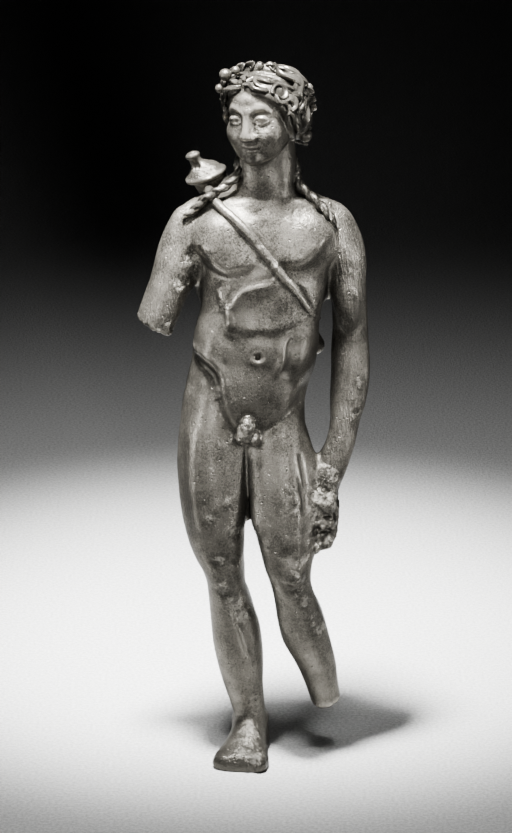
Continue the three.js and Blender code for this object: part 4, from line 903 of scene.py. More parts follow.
# %% Skin
def skin_of(values):
    """One point for each crossed cell and one quad for each crossed edge."""
    inside = values < 0
    crossed = np.zeros([n - 1 for n in inside.shape], bool)
    first = inside[:-1, :-1, :-1]
    for a, b, c in np.ndindex(2, 2, 2):
        corner = inside[a : a - 1 or None, b : b - 1 or None, c : c - 1 or None]
        crossed |= corner != first
    cells = np.argwhere(crossed)
    number = np.full(crossed.shape, -1, np.int32)
    number[tuple(cells.T)] = np.arange(len(cells))
    total = np.zeros((len(cells), 3))
    hits = np.zeros(len(cells))
    quads = []
    for axis in range(3):
        others = [n for n in range(3) if n != axis]
        for pair in np.ndindex(2, 2):
            start = np.insert(pair, axis, 0)
            end = np.insert(pair, axis, 1)
            low = values[tuple((cells + start).T)]
            high = values[tuple((cells + end).T)]
            cut = (low < 0) != (high < 0)
            t = low / np.where(cut, low - high, 1)
            total += cut[:, None] * (start + t[:, None] * (end - start))
            hits += cut
        low = np.take(inside, range(inside.shape[axis] - 1), axis)
        high = np.take(inside, range(1, inside.shape[axis]), axis)
        edges = np.argwhere(low != high)
        edges = edges[(edges[:, others] > 0).all(1)]
        ring = []
        for pair in ((0, 0), (1, 0), (1, 1), (0, 1)):
            shift = np.zeros(3, int)
            shift[others] = pair
            ring.append(number[tuple((edges - shift).T)])
        ring = np.column_stack(ring)
        flip = low[tuple(edges.T)] == (axis == 1)
        ring[flip] = ring[flip][:, ::-1]
        quads.append(ring)
    return grid_low + (cells + total / hits[:, None]) * cell, np.concatenate(quads)


points, quads = skin_of(values)
print(len(points), "points and", len(quads), "quads")

# %% [markdown]
# ## Thinning
# A piece should stay under 200,000 triangles. The Decimate modifier folds edges where the skin is
# nearly flat and keeps them where it bends, so the curls and the face stay sharp. Afterwards each
# vertex is moved back onto the exact surface, along its normal.

# %% The casting's mesh
most_triangles = 190_000


def mesh_of(name, points, quads):
    mesh = bpy.data.meshes.new(name)
    mesh.vertices.add(len(points))
    mesh.vertices.foreach_set("co", (points * MM).ravel())
    mesh.loops.add(quads.size)
    mesh.loops.foreach_set("vertex_index", quads.ravel())
    mesh.polygons.add(len(quads))
    mesh.polygons.foreach_set("loop_start", np.arange(len(quads)) * 4)
    mesh.update(calc_edges=True)
    return mesh


def places_of(mesh):
    places = np.empty(len(mesh.vertices) * 3)
    mesh.vertices.foreach_get("co", places)
    return places.reshape(-1, 3) / MM


def normals_of(mesh):
    normals = np.empty(len(mesh.vertices) * 3)
    mesh.vertex_normals.foreach_get("vector", normals)
    return normals.reshape(-1, 3)


def move_to(mesh, places):
    mesh.vertices.foreach_set("co", (places * MM).ravel())
    mesh.update()


def baked(thing):
    """The plain mesh that an object's modifiers leave, in a new object of the same name."""
    name = thing.name
    evaluated = thing.evaluated_get(bpy.context.evaluated_depsgraph_get())
    mesh = bpy.data.meshes.new_from_object(evaluated)
    bpy.data.objects.remove(thing)
    mesh.name = name
    return add_object(name, mesh)


rough = add_object("casting", mesh_of("casting", points, quads))
thin = rough.modifiers.new("thin", "DECIMATE")
thin.ratio = most_triangles / (2 * len(quads))
casting = baked(rough)
places = places_of(casting.data)
off = np.clip(standing(places), -0.15, 0.15)
move_to(casting.data, places - normals_of(casting.data) * off[:, None])
casting.data.shade_smooth()
print("the casting has", len(casting.data.polygons), "triangles")

# %% [markdown]
# ## Working the skin
# A buried bronze is never smooth. It has soft dents, eaten patches and pits. These are real relief,
# so they are made by moving the vertices along their normals. The noise is a lattice of random
# numbers, blended smoothly between its points.

# %% Relief of the skin
def ripple(points, size, seed):
    """A smooth random height from -1 to 1, with lumps of about the given size."""
    q = points / size + seed * 17.31
    base = np.floor(q)
    f = q - base
    f = f * f * (3 - 2 * f)
    total = np.zeros(len(points))
    for corner in np.ndindex(2, 2, 2):
        lattice = base + corner
        raw = np.sin(lattice @ (12.9898, 78.233, 37.719)) * 43758.5453
        weight = np.prod(np.where(np.array(corner) == 1, f, 1 - f), axis=1)
        total += weight * (raw - np.floor(raw))
    return total * 2 - 1


eaten_patches = [
    # place and radius in mm: strap, chest and flanks
    (2.6, -10, 119.8, 1.8), (5.6, -10.4, 116.2, 1.9), (8.8, -10, 112.4, 2), (12, -8.6, 108, 2.2),
    (14.4, -5, 104.2, 2.6), (10, -9.4, 107.4, 3.2), (10, -6.5, 125.6, 2.2), (-8.6, -6.6, 117, 1.8),
    (-6, -8.4, 105.6, 2.2),
    # the quiver's lid
    (-10, 4, 132.6, 2.2),
    # arms
    (-12.6, -2.8, 114.4, 2.6), (-15, -4, 110, 2.4), (-18.6, -4.6, 99, 3), (21.2, -4, 113.4, 2),
    (22.4, -3.8, 106.5, 2.2), (19.8, -3.6, 100.6, 3), (24.2, -3.6, 87, 2.2), (24.4, -3.4, 80.6, 2.4),
    # fist
    (17.2, -5, 66, 3.4), (16.6, -6, 61, 4.5), (17, -5.5, 52.6, 3.6),
    # legs, foot, and two places on the trunk
    (9.8, -10.4, 66, 2.2), (11, -10.8, 61.4, 2.4), (11.2, -11.2, 56, 2.2), (11, -11.6, 50, 2),
    (10.8, -11.6, 46.2, 2), (11.8, -9.6, 41.2, 2.2), (13.2, -8.4, 38.6, 2.2), (14.6, -6.8, 35.2, 2),
    (16.2, -5, 31.8, 2.2), (-6.3, -7.8, 48, 1.9), (-5.4, -6.6, 40, 2.6), (-2.6, -5.8, 37.4, 3),
    (-0.6, -4.6, 33.8, 2.8), (2.4, -1.5, 14, 2.6), (0.6, -9.4, 3, 4.6), (0.4, -3.4, 6.4, 3),
    (0.2, -10.4, 78.6, 3.2), (-1.5, -10.4, 117.5, 1.6), (-8.6, -8.8, 58, 2), (-4, -8.2, 62, 2.2),
    (-3, -7.6, 55, 2.4),
    # chin and cheek
    (1.5, -10, 145, 2.4),
]


def eaten_at(points):
    """1 in the middle of an eaten patch and 0 outside, with a ragged edge."""
    most = np.zeros(len(points))
    for x, y, z, radius in eaten_patches:
        away = np.linalg.norm(points - (x, y, z), axis=1)
        most = np.maximum(most, np.clip(1.3 - away / radius, 0, 1))
    return np.clip(most * (1 + 0.6 * ripple(points, 1.6, 3)), 0, 1)


def break_at(points):
    """1 on the two broken faces, and 0 from a little more than a millimetre away."""
    leant = points[:, 0] + body_slant * points[:, 2]
    there = np.column_stack((leant, points[:, 1], points[:, 2]))
    arm = np.abs((there - arm_break) @ unit(arm_away))
    ankle = np.abs((there - ankle_break) @ unit(ankle_away))
    arm[there[:, 0] > -10] = far_away
    ankle[(there[:, 2] > 16) | (there[:, 0] < 9)] = far_away
    return np.clip(1.4 - np.minimum(arm, ankle), 0, 1)


# heights in mm: soft dents, eaten patches, the fist and the breaks; the sole stays flat
sole_height = 0.4
places = places_of(casting.data)
normals = normals_of(casting.data)
height = 0.03 * ripple(places, 2.6, 1) + 0.02 * ripple(places, 1.1, 2)
height += eaten_at(places) * (0.26 * ripple(places, 0.7, 4) + 0.22 * ripple(places, 1.5, 6) - 0.1)
fist = np.clip(2 - np.linalg.norm((places - (16.6, -4, 57)) / (3, 4, 6), axis=1), 0, 1)
height += fist * (0.25 * ripple(places, 0.9, 7) + 0.15 * ripple(places, 1.9, 8))
height += break_at(places) * 0.2 * ripple(places, 0.9, 5)
height[places[:, 2] < sole_height] = 0
move_to(casting.data, places + normals * height[:, None])
print("relief from", round(height.min(), 2), "to", round(height.max(), 2), "mm")

# %% [markdown]
# ## What the finish needs to know
# Wear brightens the ridges, and dirt and patina stay in the hollows. The distance that shaped the
# figure tells which is which: a short step out of a hollow ends too near the metal, and a short
# step into a ridge doesn't get deep. Both numbers are stored on the vertices, for the material.

# %% Attributes for the material
def store(mesh, name, numbers):
    layer = mesh.attributes.new(name, "FLOAT", "POINT")
    layer.data.foreach_set("value", np.asarray(numbers, np.float32))


def mark_skin(thing, ridge):
    places = places_of(thing.data)
    arms = (places[:, 0] < -12) | ((places[:, 0] > 17) & (places[:, 2] > 66))
    store(thing.data, "ridge", np.clip(ridge, 0, 1))
    store(thing.data, "eaten", eaten_at(places))
    store(thing.data, "filed", np.clip(arms + 0.35 * ripple(places, 6, 9), 0, 1))


places = places_of(casting.data)
normals = normals_of(casting.data)
probe = 0.9
hollow = standing(places + normals * probe) - probe
crest = standing(places - normals * probe) + probe
# Painted shade on the quiver's lid: its ridge number is lowered, so the lid, which faces the overhead
# lamp, comes out darker, with less of the bright worn colour.
lid_painted_shade = np.clip(1.7 - np.linalg.norm(places - (-9.6, 6, 133), axis=1) / 6, 0, 1)
mark_skin(casting, 0.5 + 1.1 * hollow + 1.1 * crest - lid_painted_shade * (0.3 + 0.25 * ripple(places, 1.6, 11)))
print("ridges and hollows are marked on", len(places), "vertices")

# %% [markdown]
# ## Locks of hair with Geometry Nodes
# A lock of cast hair is a small bundle of strands that runs along a curve and tapers off. That is
# one rule for some fifty locks, so a node tree makes them: it spaces the points of each curve
# evenly, twists the curve, and sweeps a lobed outline along it, with one lobe for each strand.

# %% Node helpers
class Value:
    """One output of a node. Sums, differences and products of values add the nodes they need."""

    def __init__(self, socket):
        self.socket = socket
        self.tree = socket.id_data

    def __getitem__(self, key):
        """Another output of the same node, by name or number."""
        return Value(self.socket.node.outputs[key])

    def __add__(self, other):
        return maths("ADD", self, other)

    def __sub__(self, other):
        return maths("SUBTRACT", self, other)

    def __rsub__(self, other):
        return maths("SUBTRACT", other, self)

    def __mul__(self, other):
        return maths("MULTIPLY", self, other)


def add_node(tree, kind, inputs=(), output=0, **settings):
    """Adds a node, sets its properties, sets or links its inputs, and returns one of its outputs."""
    node = tree.nodes.new(kind)
    for name, value in settings.items():
        setattr(node, name, value)
    for key, value in dict(inputs).items():
        if isinstance(value, Value):
            tree.links.new(value.socket, node.inputs[key])
        else:
            node.inputs[key].default_value = value
    return Value(node.outputs[output]) if node.outputs else None


def maths(operation, *values):
    tree = next(value.tree for value in values if isinstance(value, Value))
    return add_node(tree, "ShaderNodeMath", dict(enumerate(values)), operation=operation)


def new_tree(name, kind, ins, outs):
    """A node group and its inputs. Both dictionaries give the kind of each socket by its name."""
    tree = bpy.data.node_groups.new(name, kind)
    for way, sockets in (("INPUT", ins), ("OUTPUT", outs)):
        for socket, socket_kind in sockets.items():
            tree.interface.new_socket(socket, in_out=way, socket_type="NodeSocket" + socket_kind)
    return tree, add_node(tree, "NodeGroupInput")


def end_tree(tree, geometry, finish):
    """The common end of the trees: real geometry, shaded smooth, with its material."""
    real = add_node(tree, "GeometryNodeRealizeInstances", {"Geometry": geometry})
    smooth = add_node(tree, "GeometryNodeSetShadeSmooth", {"Geometry": real})
    done = add_node(tree, "GeometryNodeSetMaterial", {"Geometry": smooth, "Material": finish})
    add_node(tree, "NodeGroupOutput", {0: done})
    print(tree.name, "takes", len(tree.nodes), "nodes")


def run_tree(thing, tree, values):
    """Adds the tree as a modifier, sets its inputs by their identifiers, and returns the plain result."""
    modifier = thing.modifiers.new(tree.name, "NODES")
    modifier.node_group = tree
    for item in tree.interface.items_tree:
        if item.in_out == "INPUT" and item.name in values:
            modifier[item.identifier] = values[item.name]
    return baked(thing)


print("node helpers are ready")

# %% The tree that sweeps locks
outline_points_per_strand = 6.0
lock_tree, given = new_tree(
    "locks of hair",
    "GeometryNodeTree",
    {
        "Curves": "Geometry",
        "Point spacing": "Float",
        "Strands": "Int",
        "Strand depth": "Float",
        "Turns per metre": "Float",
        "Finish": "Material",
    },
    {"Locks": "Geometry"},
)
spacing = {"Curve": given["Curves"], "Length": given["Point spacing"]}
even = add_node(lock_tree, "GeometryNodeResampleCurve", spacing, mode="LENGTH")
length = add_node(lock_tree, "GeometryNodeSplineParameter", output="Length")
tilt = length * given["Turns per metre"] * math.tau
twisted = add_node(lock_tree, "GeometryNodeSetCurveTilt", {"Curve": even, "Tilt": tilt})
size = {"Resolution": given["Strands"] * outline_points_per_strand, "Radius": 1.0}
circle = add_node(lock_tree, "GeometryNodeCurvePrimitiveCircle", size)
position = add_node(lock_tree, "GeometryNodeInputPosition")
parts = add_node(lock_tree, "ShaderNodeSeparateXYZ", {0: position})
angle = maths("ARCTAN2", parts["Y"], parts["X"])
bulge = maths("COSINE", angle * given["Strands"]) * given["Strand depth"]
push = add_node(lock_tree, "ShaderNodeVectorMath", {0: position, "Scale": bulge}, operation="SCALE")
outline = add_node(lock_tree, "GeometryNodeSetPosition", {"Geometry": circle, "Offset": push})
sweep = {"Curve": twisted, "Profile Curve": outline, "Fill Caps": True}
sweep["Scale"] = add_node(lock_tree, "GeometryNodeInputRadius")
end_tree(lock_tree, add_node(lock_tree, "GeometryNodeCurveToMesh", sweep), given["Finish"])


# %% Curves for the tree
curve_steps = 6


def leaning(points):
    """Moves points of the upright model into the leaning stance of the finished figure."""
    moved = np.array(points, float)
    moved[:, 0] -= body_slant * moved[:, 2]
    return moved


def curves_object(name, paths):
    """One curve object with a smooth spline for each path of points and radii, in millimetres."""
    data = bpy.data.curves.new(name, "CURVE")
    data.dimensions = "3D"
    for path, radii in paths:
        line, along = smooth_path(path, curve_steps)
        spline = data.splines.new("POLY")
        spline.points.add(len(line) - 1)
        flat = np.column_stack((leaning(line) * MM, np.ones(len(line))))
        spline.points.foreach_set("co", flat.ravel())
        spline.points.foreach_set("radius", np.interp(along, np.arange(len(radii)), radii) * MM)
    return add_object(name, data)


def over_hair(path, height):
    return figure.settle(on_scalp(path), height)


print("curves are ready")

# %% [markdown]
# ## How the hair is dressed
# The hair is parted above the nose. On each side short locks sweep away from the parting in hooks,
# some end in ring curls, and loose locks hang over the temples. Wavy strands run from the crown down
# to the roll at the nape. Each path is given over the scalp in degrees.

# %% Front hair
left_front = [
    [(-8, 58), (2, 64), (16, 58), (26, 50), (36, 46), (45, 48), (46, 55)],
    [(-6, 50), (4, 55), (16, 50), (26, 43), (33, 38)],
    [(-5, 43), (5, 42), (14, 36), (24, 33), (31, 33), (33, 39)],
    [(37, 27), (42, 34), (53, 38), (63, 33), (62, 24), (53, 21), (46, 25)],
    [(40, 25), (46, 19), (55, 13), (62, 1)],
    [(56, 14), (64, 19), (73, 18), (76, 10), (68, 4), (60, 8)],
    [(48, 48), (58, 50), (68, 44), (76, 36)],
    [(50, 41), (60, 43), (70, 37), (78, 27)],
    [(76, 33), (86, 25), (92, 14), (87, 6), (76, 2)],
]
left_temple = [
    [(58, 18), (67, 20), (74, 13), (71, 5), (63, 3), (60, 10)],
    [(72, 22), (85, 18), (92, 9), (86, 0), (75, -4)],
    [(59, 2), (67, -3), (73, -13), (69, -20)],
    [(80, -3), (94, -8), (105, -19), (104, -29), (94, -33)],
    [(69, -18), (78, -25), (86, -33), (84, -38)],
    [(109, -20), (112, -28), (108, -35), (101, -38)],
    [(115, -6), (118, -14), (114, -24)],
    [(98, 18), (104, 6), (110, -4)],
]
right_front = [
    [(-14, 50), (-30, 57), (-52, 55), (-70, 47), (-74, 38), (-62, 34)],
    [(-14, 44), (-30, 47), (-46, 44), (-58, 37), (-62, 29)],
    [(-12, 41), (-24, 38), (-38, 34), (-52, 27), (-58, 20)],
    [(-70, 33), (-68, 27), (-65, 20), (-64, 14)],
    [(-63, 12), (-62, 8), (-60, 1), (-59, -3)],
    [(-22, 60), (-46, 64), (-72, 59), (-86, 50)],
]


def tapering(path, thickness):
    return thickness * np.sin(np.linspace(0.45, 2.7, len(path))) ** 0.5


front = []
for path in left_front + right_front:
    front.append((over_hair(path, 0.3), tapering(path, 0.6)))
for path in left_temple:
    for side in (-1, 1):
        front.append((over_hair([(side * lon, lat) for lon, lat in path], 0.25), tapering(path, 0.85)))
front_locks = curves_object("front_locks", front)
print(len(front), "front locks")

# %% Back hair
back = []
strand_count = 19
for n in range(strand_count):
    lon = mix(92, 268, n / (strand_count - 1))
    sway = 5 if n % 2 else -5
    sways = ((0, 74), (sway, 56), (-sway, 38), (sway, 20), (-sway, 2), (0, -18), (0, -32))
    path = [(lon + shift, lat) for shift, lat in sways]
    back.append((over_hair(path, 0.2), [0.5, 0.95, 1.1, 1.15, 1.15, 1.1, 0.7]))
for lift, thickness in ((0.9, 1.1), (-1.1, 1), (2.6, 0.9)):
    laid = figure.settle(on_head([(u, v, w + lift) for u, v, w in nape_roll]), 0.25)
    back.append((laid, thickness * np.array([0.6, 1, 1.1, 1, 0.6])))
back_locks = curves_object("back_locks", back)
print(len(back), "back strands")

# %% Long locks
long = [(path, np.array([0.8, 0.95, 1, 1, 1, 0.95, 0.5]) * lock_radius) for path in long_locks]
shoulder_locks = curves_object("shoulder_locks", long)
print("long locks of", lock_radius, "mm radius")

# %% [markdown]
# ## The wreath
# The wreath stands over the crown like a hoop. One leaf is made once, from a ball that is squeezed
# flat and creased along its middle, and then it is set along the hoop in pairs, each with a little
# chance in its size from a fixed seed.

# %% The tree that sets the leaves
leaf_thickness = 0.0008
leaf_foot = 0.35
leaf_nod = -0.25
wreath_tree, given = new_tree(
    "wreath of leaves",
    "GeometryNodeTree",
    {
        "Hoop": "Geometry",
        "Pairs": "Int",
        "Leaf length": "Float",
        "Leaf width": "Float",
        "Spread": "Float",
        "Seed": "Int",
        "Finish": "Material",
    },
    {"Leaves": "Geometry"},
)
spacing = {"Curve": given["Hoop"], "Count": given["Pairs"]}
spots = add_node(wreath_tree, "GeometryNodeCurveToPoints", spacing, mode="COUNT")
ball = add_node(wreath_tree, "GeometryNodeMeshUVSphere", {"Segments": 10, "Rings": 7, "Radius": 0.5})
parts = add_node(wreath_tree, "GeometryNodeInputPosition")
parts = add_node(wreath_tree, "ShaderNodeSeparateXYZ", {0: parts})
pressed = {
    "X": parts["X"] * given["Leaf width"],
    "Y": parts["Y"] * leaf_thickness + maths("ABSOLUTE", parts["X"]) * given["Leaf width"],
    "Z": (parts["Z"] + leaf_foot) * given["Leaf length"],
}
pressed = add_node(wreath_tree, "ShaderNodeCombineXYZ", pressed)
leaf = add_node(wreath_tree, "GeometryNodeSetPosition", {"Geometry": ball, "Position": pressed})
joined = add_node(wreath_tree, "GeometryNodeJoinGeometry")
for side in (-1.0, 1.0):
    chance = {2: 0.82, 3: 1.12, "Seed": given["Seed"] + side}
    chance = add_node(wreath_tree, "FunctionNodeRandomValue", chance, 1, data_type="FLOAT")
    turn = add_node(wreath_tree, "ShaderNodeCombineXYZ", {"X": leaf_nod, "Y": given["Spread"] * side})
    turn = add_node(wreath_tree, "FunctionNodeEulerToRotation", {0: turn})
    turn = {"Rotation": spots["Rotation"], "Rotate By": turn}
    turn = add_node(wreath_tree, "FunctionNodeRotateRotation", turn, rotation_space="LOCAL")
    leaves = {"Points": spots["Points"], "Instance": leaf, "Rotation": turn, "Scale": chance}
    leaves = add_node(wreath_tree, "GeometryNodeInstanceOnPoints", leaves)
    wreath_tree.links.new(leaves.socket, joined.socket.node.inputs[0])
end_tree(wreath_tree, joined, given["Finish"])

hoop_angles = np.linspace(-0.62 * math.pi, 0.6 * math.pi, 23)
hoop_line = on_head(hoop_point(hoop_angles) * 1.06)
wreath_leaves = curves_object("wreath_leaves", [(hoop_line, [1] * len(hoop_line))])

# %% [markdown]
# ## The colour of old bronze
# The photograph is black and white, so the hue is a guess: a dark olive brown, as on most cleaned
# bronzes of this age. Three effects are made as node groups, so that every piece of the casting
# shares them: the tones of the patina with painted shade, the pits, and the marks of a file.

# %% Node group for the tones of the patina and the painted shade
def noise_value(vector, scale, detail, roughness=0.55):
    inputs = {"Vector": vector, "Scale": scale, "Detail": detail, "Roughness": roughness}
    return add_node(vector.tree, "ShaderNodeTexNoise", inputs)


def between(value, low, high):
    """0 at low, 1 at high, and smooth in between."""
    inputs = {"Value": value, "From Min": low, "From Max": high}
    return add_node(value.tree, "ShaderNodeMapRange", inputs, interpolation_type="SMOOTHSTEP")


def blend(share, first, second):
    return add_node(share.tree, "ShaderNodeMix", {0: share, 6: first, 7: second}, 2, data_type="RGBA")


tones, given = new_tree(
    "patina tones and painted shade",
    "ShaderNodeTree",
    {
        "Vector": "Vector",
        "Ridge": "Float",
        "Eaten": "Float",
        "Dark": "Color",
        "Middle": "Color",
        "Bright": "Color",
        "Crust": "Color",
        "Patch scale": "Float",
    },
    {"Color": "Color", "Worn": "Float", "Crusted": "Float"},
)
patches = noise_value(given["Vector"], given["Patch scale"], 4.0)
fine = noise_value(given["Vector"], 1900.0, 4.0, 0.7)
speckle = noise_value(given["Vector"], 2800.0, 3.0, 0.75)
worn = between(given["Ridge"] + patches * 0.5 + fine * 0.5, 0.86, 1.35)
crusted = between(given["Eaten"] * 0.35 + fine, 0.7, 0.9)
sunk = between(given["Ridge"], 0.42, 0.1)
grey = (patches - 0.5) * 0.7 + (fine - 0.5) + (speckle - 0.5) * 2.8
base = blend(between(grey, -0.35, 0.35), given["Dark"], given["Middle"])
base = blend(worn * 0.8, base, given["Bright"])
base = blend(crusted, base, given["Crust"])
base = blend(sunk * 0.6, base, given["Dark"])

# Painted shade by height, mixed towards the dark colour. It is darker down the trunk and the legs, where
# the overhead lamp's light falls off, and on the low belly. The sole's rim gets a painted contact shadow.
# The neck, the quiver's lid and the crown get more painted shade, and the face gets less.
where = add_node(tones, "ShaderNodeSeparateXYZ", {0: given["Vector"]})
level = where["Z"]
painted_shade = between(level, 0.085, 0.03) * 0.25
for start, full, strength in ((0.112, 0.09, 0.28), (0.0055, 0.001, 0.6)):
    painted_shade = painted_shade + between(level, start, full) * strength
painted_shade = painted_shade + between(level, 0.112, 0.1) * between(level, 0.078, 0.09) * 0.34
for start, full, strength in ((0.126, 0.138, 0.52), (0.146, 0.151, 0.1)):
    painted_shade = painted_shade + between(level, start, full) * strength
face = between(where["Y"], -0.0045, -0.0075) * between(level, 0.138, 0.142)
painted_shade = painted_shade - face * between(level, 0.1535, 0.1515) * 0.42
base = blend(painted_shade, base, given["Dark"])
add_node(tones, "NodeGroupOutput", {"Color": base, "Worn": worn, "Crusted": crusted})
print("patina tones and painted shade:", len(tones.nodes), "nodes")

# %% Node group for pits and grain
pits, given = new_tree(
    "pits and grain",
    "ShaderNodeTree",
    {"Vector": "Vector", "Eaten": "Float", "Pit scale": "Float", "Grain scale": "Float"},
    {"Height": "Float", "Pit": "Float"},
)
wobble = {"Vector": given["Vector"], "Scale": given["Pit scale"], "Detail": 2.0}
wobble = add_node(pits, "ShaderNodeTexNoise", wobble, "Color")
wobble = add_node(pits, "ShaderNodeVectorMath", {0: wobble, "Scale": 0.0006}, operation="SCALE")
moved = add_node(pits, "ShaderNodeVectorMath", {0: given["Vector"], 1: wobble}, operation="ADD")
cells = {"Vector": moved, "Scale": given["Pit scale"], "Randomness": 1.0}
cells = add_node(pits, "ShaderNodeTexVoronoi", cells)
chosen = add_node(pits, "ShaderNodeSeparateColor", {0: cells["Color"]})
chosen = maths("GREATER_THAN", chosen, 0.88 - given["Eaten"] * 0.5)
pit = between(cells["Distance"], 0.38, 0.12) * chosen
grain = noise_value(given["Vector"], given["Grain scale"], 3.0, 0.65)
lumps = noise_value(given["Vector"], 1300.0, 4.0, 0.6)
height = grain * 0.5 + pit * -0.8 + lumps * (given["Eaten"] * 1.6) + lumps * 0.35
add_node(pits, "NodeGroupOutput", {"Height": height, "Pit": pit})
print("pits and grain:", len(pits.nodes), "nodes")

# %% Node group for file marks
files, given = new_tree(
    "file marks",
    "ShaderNodeTree",
    {"Vector": "Vector", "Filed": "Float", "Angle": "Float"},
    {"Height": "Float"},
)
turn = {"Vector": given["Vector"], "Angle": given["Angle"]}
turn = add_node(files, "ShaderNodeVectorRotate", turn, rotation_type="Y_AXIS")
stretched = add_node(files, "ShaderNodeMapping", {"Vector": turn, "Scale": (2800, 2800, 160)})
marks = (noise_value(stretched, 1.0, 2.0, 0.5) - 0.5) * given["Filed"]
add_node(files, "NodeGroupOutput", {"Height": marks})
print("file marks:", len(files.nodes), "nodes")

# %% [markdown]
# ## The bronze itself
# The shader stays in the material, and reads only masks, colours and heights from the groups. Worn
# metal is brighter and smoother. Crust in the eaten places is duller and hardly a metal at all.

# %% Bronze materials
def new_material(name):
    """A material, its tree, the inputs of its shader, and object coordinates."""
    material = bpy.data.materials.new(name)
    material.use_nodes = True
    tree = material.node_tree
    shader = tree.nodes["Principled BSDF"].inputs
    return material, tree, shader, add_node(tree, "ShaderNodeTexCoord", output="Object")


def old_bronze(name, colours, patch_scale, grain_depth, file_depth):
    material, tree, shader, vector = new_material(name)
    marks = {}
    for mark in ("ridge", "eaten", "filed"):
        marks[mark] = add_node(tree, "ShaderNodeAttribute", output="Fac", attribute_name=mark)
    inputs = {key: (*colour, 1) for key, colour in colours.items()}
    dark = inputs["Dark"]
    inputs |= {"Vector": vector, "Ridge": marks["ridge"], "Eaten": marks["eaten"]}
    inputs["Patch scale"] = patch_scale
    tone = add_node(tree, "ShaderNodeGroup", inputs, node_tree=tones)
    inputs = {"Vector": vector, "Eaten": marks["eaten"], "Pit scale": 1300, "Grain scale": 3400}
    pit = add_node(tree, "ShaderNodeGroup", inputs, node_tree=pits)
    inputs = {"Vector": vector, "Filed": marks["filed"], "Angle": 0.12}
    filed = add_node(tree, "ShaderNodeGroup", inputs, node_tree=files)
    inputs = {"Strength": 1.0, "Distance": grain_depth, "Height": pit["Height"]}
    bumps = add_node(tree, "ShaderNodeBump", inputs)
    inputs = {"Strength": 1.0, "Distance": file_depth, "Height": filed["Height"], "Normal": bumps}
    made = {
        "Base Color": blend(pit["Pit"] * 0.75, tone["Color"], dark),
        "Roughness": tone["Crusted"] * 0.22 + 0.34 - tone["Worn"] * 0.14,
        "Metallic": 0.7 - tone["Crusted"] * 0.55,
        "Normal": add_node(tree, "ShaderNodeBump", inputs),
    }
    for socket, value in made.items():
        tree.links.new(value.socket, shader[socket])
    shader["Specular Tint"].default_value = (0.35, 0.35, 0.35, 1)
    return material


body_colours = {
    "Dark": (0.05, 0.047, 0.04),
    "Middle": (0.185, 0.173, 0.148),
    "Bright": (0.52, 0.487, 0.42),
    "Crust": (0.44, 0.418, 0.36),
}
# The hair's bronze is the body's bronze in darker colours: partly the patina of the curls, partly painted
# shade among the curls and on the head under the lamp.
hair_colours_with_painted_shade = {
    "Dark": (0.016, 0.015, 0.013),
    "Middle": (0.105, 0.098, 0.084),
    "Bright": (0.4, 0.374, 0.321),
    "Crust": (0.17, 0.165, 0.142),
}
bronze = old_bronze("patinated bronze", body_colours, 170, 0.00016, 0.0003)
hair_bronze_with_painted_shade = old_bronze("bronze of the hair with painted shade", hair_colours_with_painted_shade, 260, 0.00008, 0.00002)
print("two bronzes, from three node groups")

# %% [markdown]
# ## From curves to metal
# The trees are run now, and their results become plain meshes. The distance of the figure says how
# far each point of a lock stands out of the hair below it, and that is its ridge. The casting's own
# hair is darkened in the gaps between the front locks: partly patina, partly painted shadow between the
# curls.

# %% Dressing the locks and leaves
casting.data.materials.clear()
casting.data.materials.append(bronze)
dressed = []
for thing, strands, turns in ((front_locks, 3, 60.0), (back_locks, 3, 40.0), (shoulder_locks, 2, 170.0)):
    values = {"Point spacing": 0.00035, "Strands": strands, "Strand depth": 0.2}
    values |= {"Turns per metre": turns, "Finish": hair_bronze_with_painted_shade}
    dressed.append(run_tree(thing, lock_tree, values))
values = {"Pairs": 15, "Leaf length": 0.003, "Leaf width": 0.0019, "Spread": 0.42}
dressed.append(run_tree(wreath_leaves, wreath_tree, {**values, "Seed": 7, "Finish": hair_bronze_with_painted_shade}))
for thing in dressed:
    mark_skin(thing, 0.25 + 0.45 * standing(places_of(thing.data)))
    print(thing.name, len(thing.data.polygons), "faces")

# %% Gaps between the front locks, darkened for patina and painted shadow
hair_level = 136
gap_start, gap_end = 1.2, 2.2
lines = [path for path, radii in front] + [figure.settle(on_head(valley), 0)]
centres = [place for path in lines for place in leaning(smooth_path(path, curve_steps)[0])]
tree_of_centres = mathutils.kdtree.KDTree(len(centres))
for number, place in enumerate(centres):
    tree_of_centres.insert(place, number)
tree_of_centres.balance()
ridge = casting.data.attributes["ridge"].data
places = places_of(casting.data)
# Near a front lock's middle line the cap's ridge number is lowered, which darkens it: partly patina,
# partly painted shadow between the curls.
for number in np.flatnonzero(places[:, 2] > hair_level):
    away = tree_of_centres.find(places[number])[2]
    if away < gap_end:
        ridge[number].value *= max(0.0, away - gap_start)
print(len(centres), "places along the front locks darken the gaps between them")

# %% [markdown]
# ## Handing the pieces to the frame
# One casting is one body. Every piece rides on it, and together they stand for the CAD solid.

# %% Frame calls
for thing in (casting, *dressed):
    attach(thing, "root")
    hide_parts("apollo_statuette")

# %% [markdown]
# ## Paper and light
# The statuette stands on a large sheet of pale paper. The main light hangs nearly overhead, a
# little in front and to the left, so the paper falls off into the dark behind the figure. Two weak
# ones beside it soften the shadow on the paper, and a wide one lifts the paper around the figure.
# Three low fills light the figure from the front and from both sides, and hardly touch the paper.

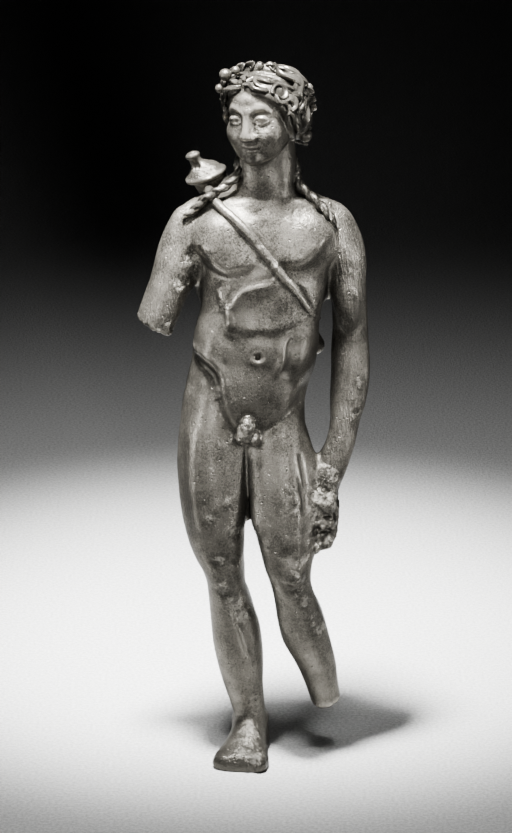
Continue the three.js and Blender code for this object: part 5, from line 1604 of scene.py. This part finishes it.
# %% Paper floor
paper, tree, shader, vector = new_material("pale paper")
fibres = between(noise_value(vector, 1300.0, 5.0, 0.7), 0.32, 0.68)
colour = blend(fibres, (0.56, 0.56, 0.55, 1), (0.88, 0.88, 0.87, 1))
bump = add_node(tree, "ShaderNodeBump", {"Strength": 0.5, "Distance": 0.0006, "Height": fibres})
tree.links.new(colour.socket, shader["Base Color"])
tree.links.new(bump.socket, shader["Normal"])
shader["Roughness"].default_value = 0.9
half = 3.0
sheet = bpy.data.meshes.new("floor")
corners = [(-half, -half, 0), (half, -half, 0), (half, half, 0), (-half, half, 0)]
sheet.from_pydata(corners, [], [(0, 1, 2, 3)])
sheet.materials.append(paper)
add_object("floor", sheet)
print("a floor", 2 * half, "m wide")

# %% Lights
lights = [
    # name, place, target, radius, cone in degrees, watts
    ("overhead light", (-0.027, -0.048, 0.38), (0, 0.078, 0), 0.024, 34, 57),
    ("overhead left", (-0.06, -0.085, 0.37), (0, 0.075, 0), 0.02, 33, 4.4),
    ("overhead right", (0.045, -0.09, 0.37), (0, 0.075, 0), 0.02, 33, 1.8),
    ("wide light", (-0.034, -0.04, 0.4), (0, 0.05, 0), 0.03, 80, 3.8),
    ("front fill", (0.06, -0.6, 0.12), (0, 0, 0.09), 0.03, 22, 5.4),
    ("left fill", (-0.4, -0.16, 0.04), (0, 0, 0.1), 0.03, 30, 3.5),
    ("right fill", (0.4, -0.16, 0.04), (0, 0, 0.1), 0.03, 30, 3.8),
]
for name, place, target, radius, cone, watts in lights:
    data = bpy.data.lights.new(name, "SPOT")
    data.shadow_soft_size = radius
    data.spot_size = math.radians(cone)
    data.spot_blend = 1
    data.energy = watts
    aim = (Vector(target) - Vector(place)).to_track_quat("-Z", "Y")
    add_object(name, data).matrix_world = Matrix.LocRotScale(Vector(place), aim, None)
surroundings = bpy.data.worlds.new("surroundings")
surroundings.use_nodes = True
surroundings.node_tree.nodes["Background"].inputs["Color"].default_value = (0.001, 0.001, 0.001, 1)
bpy.context.scene.world = surroundings
print(len(lights), "lights")
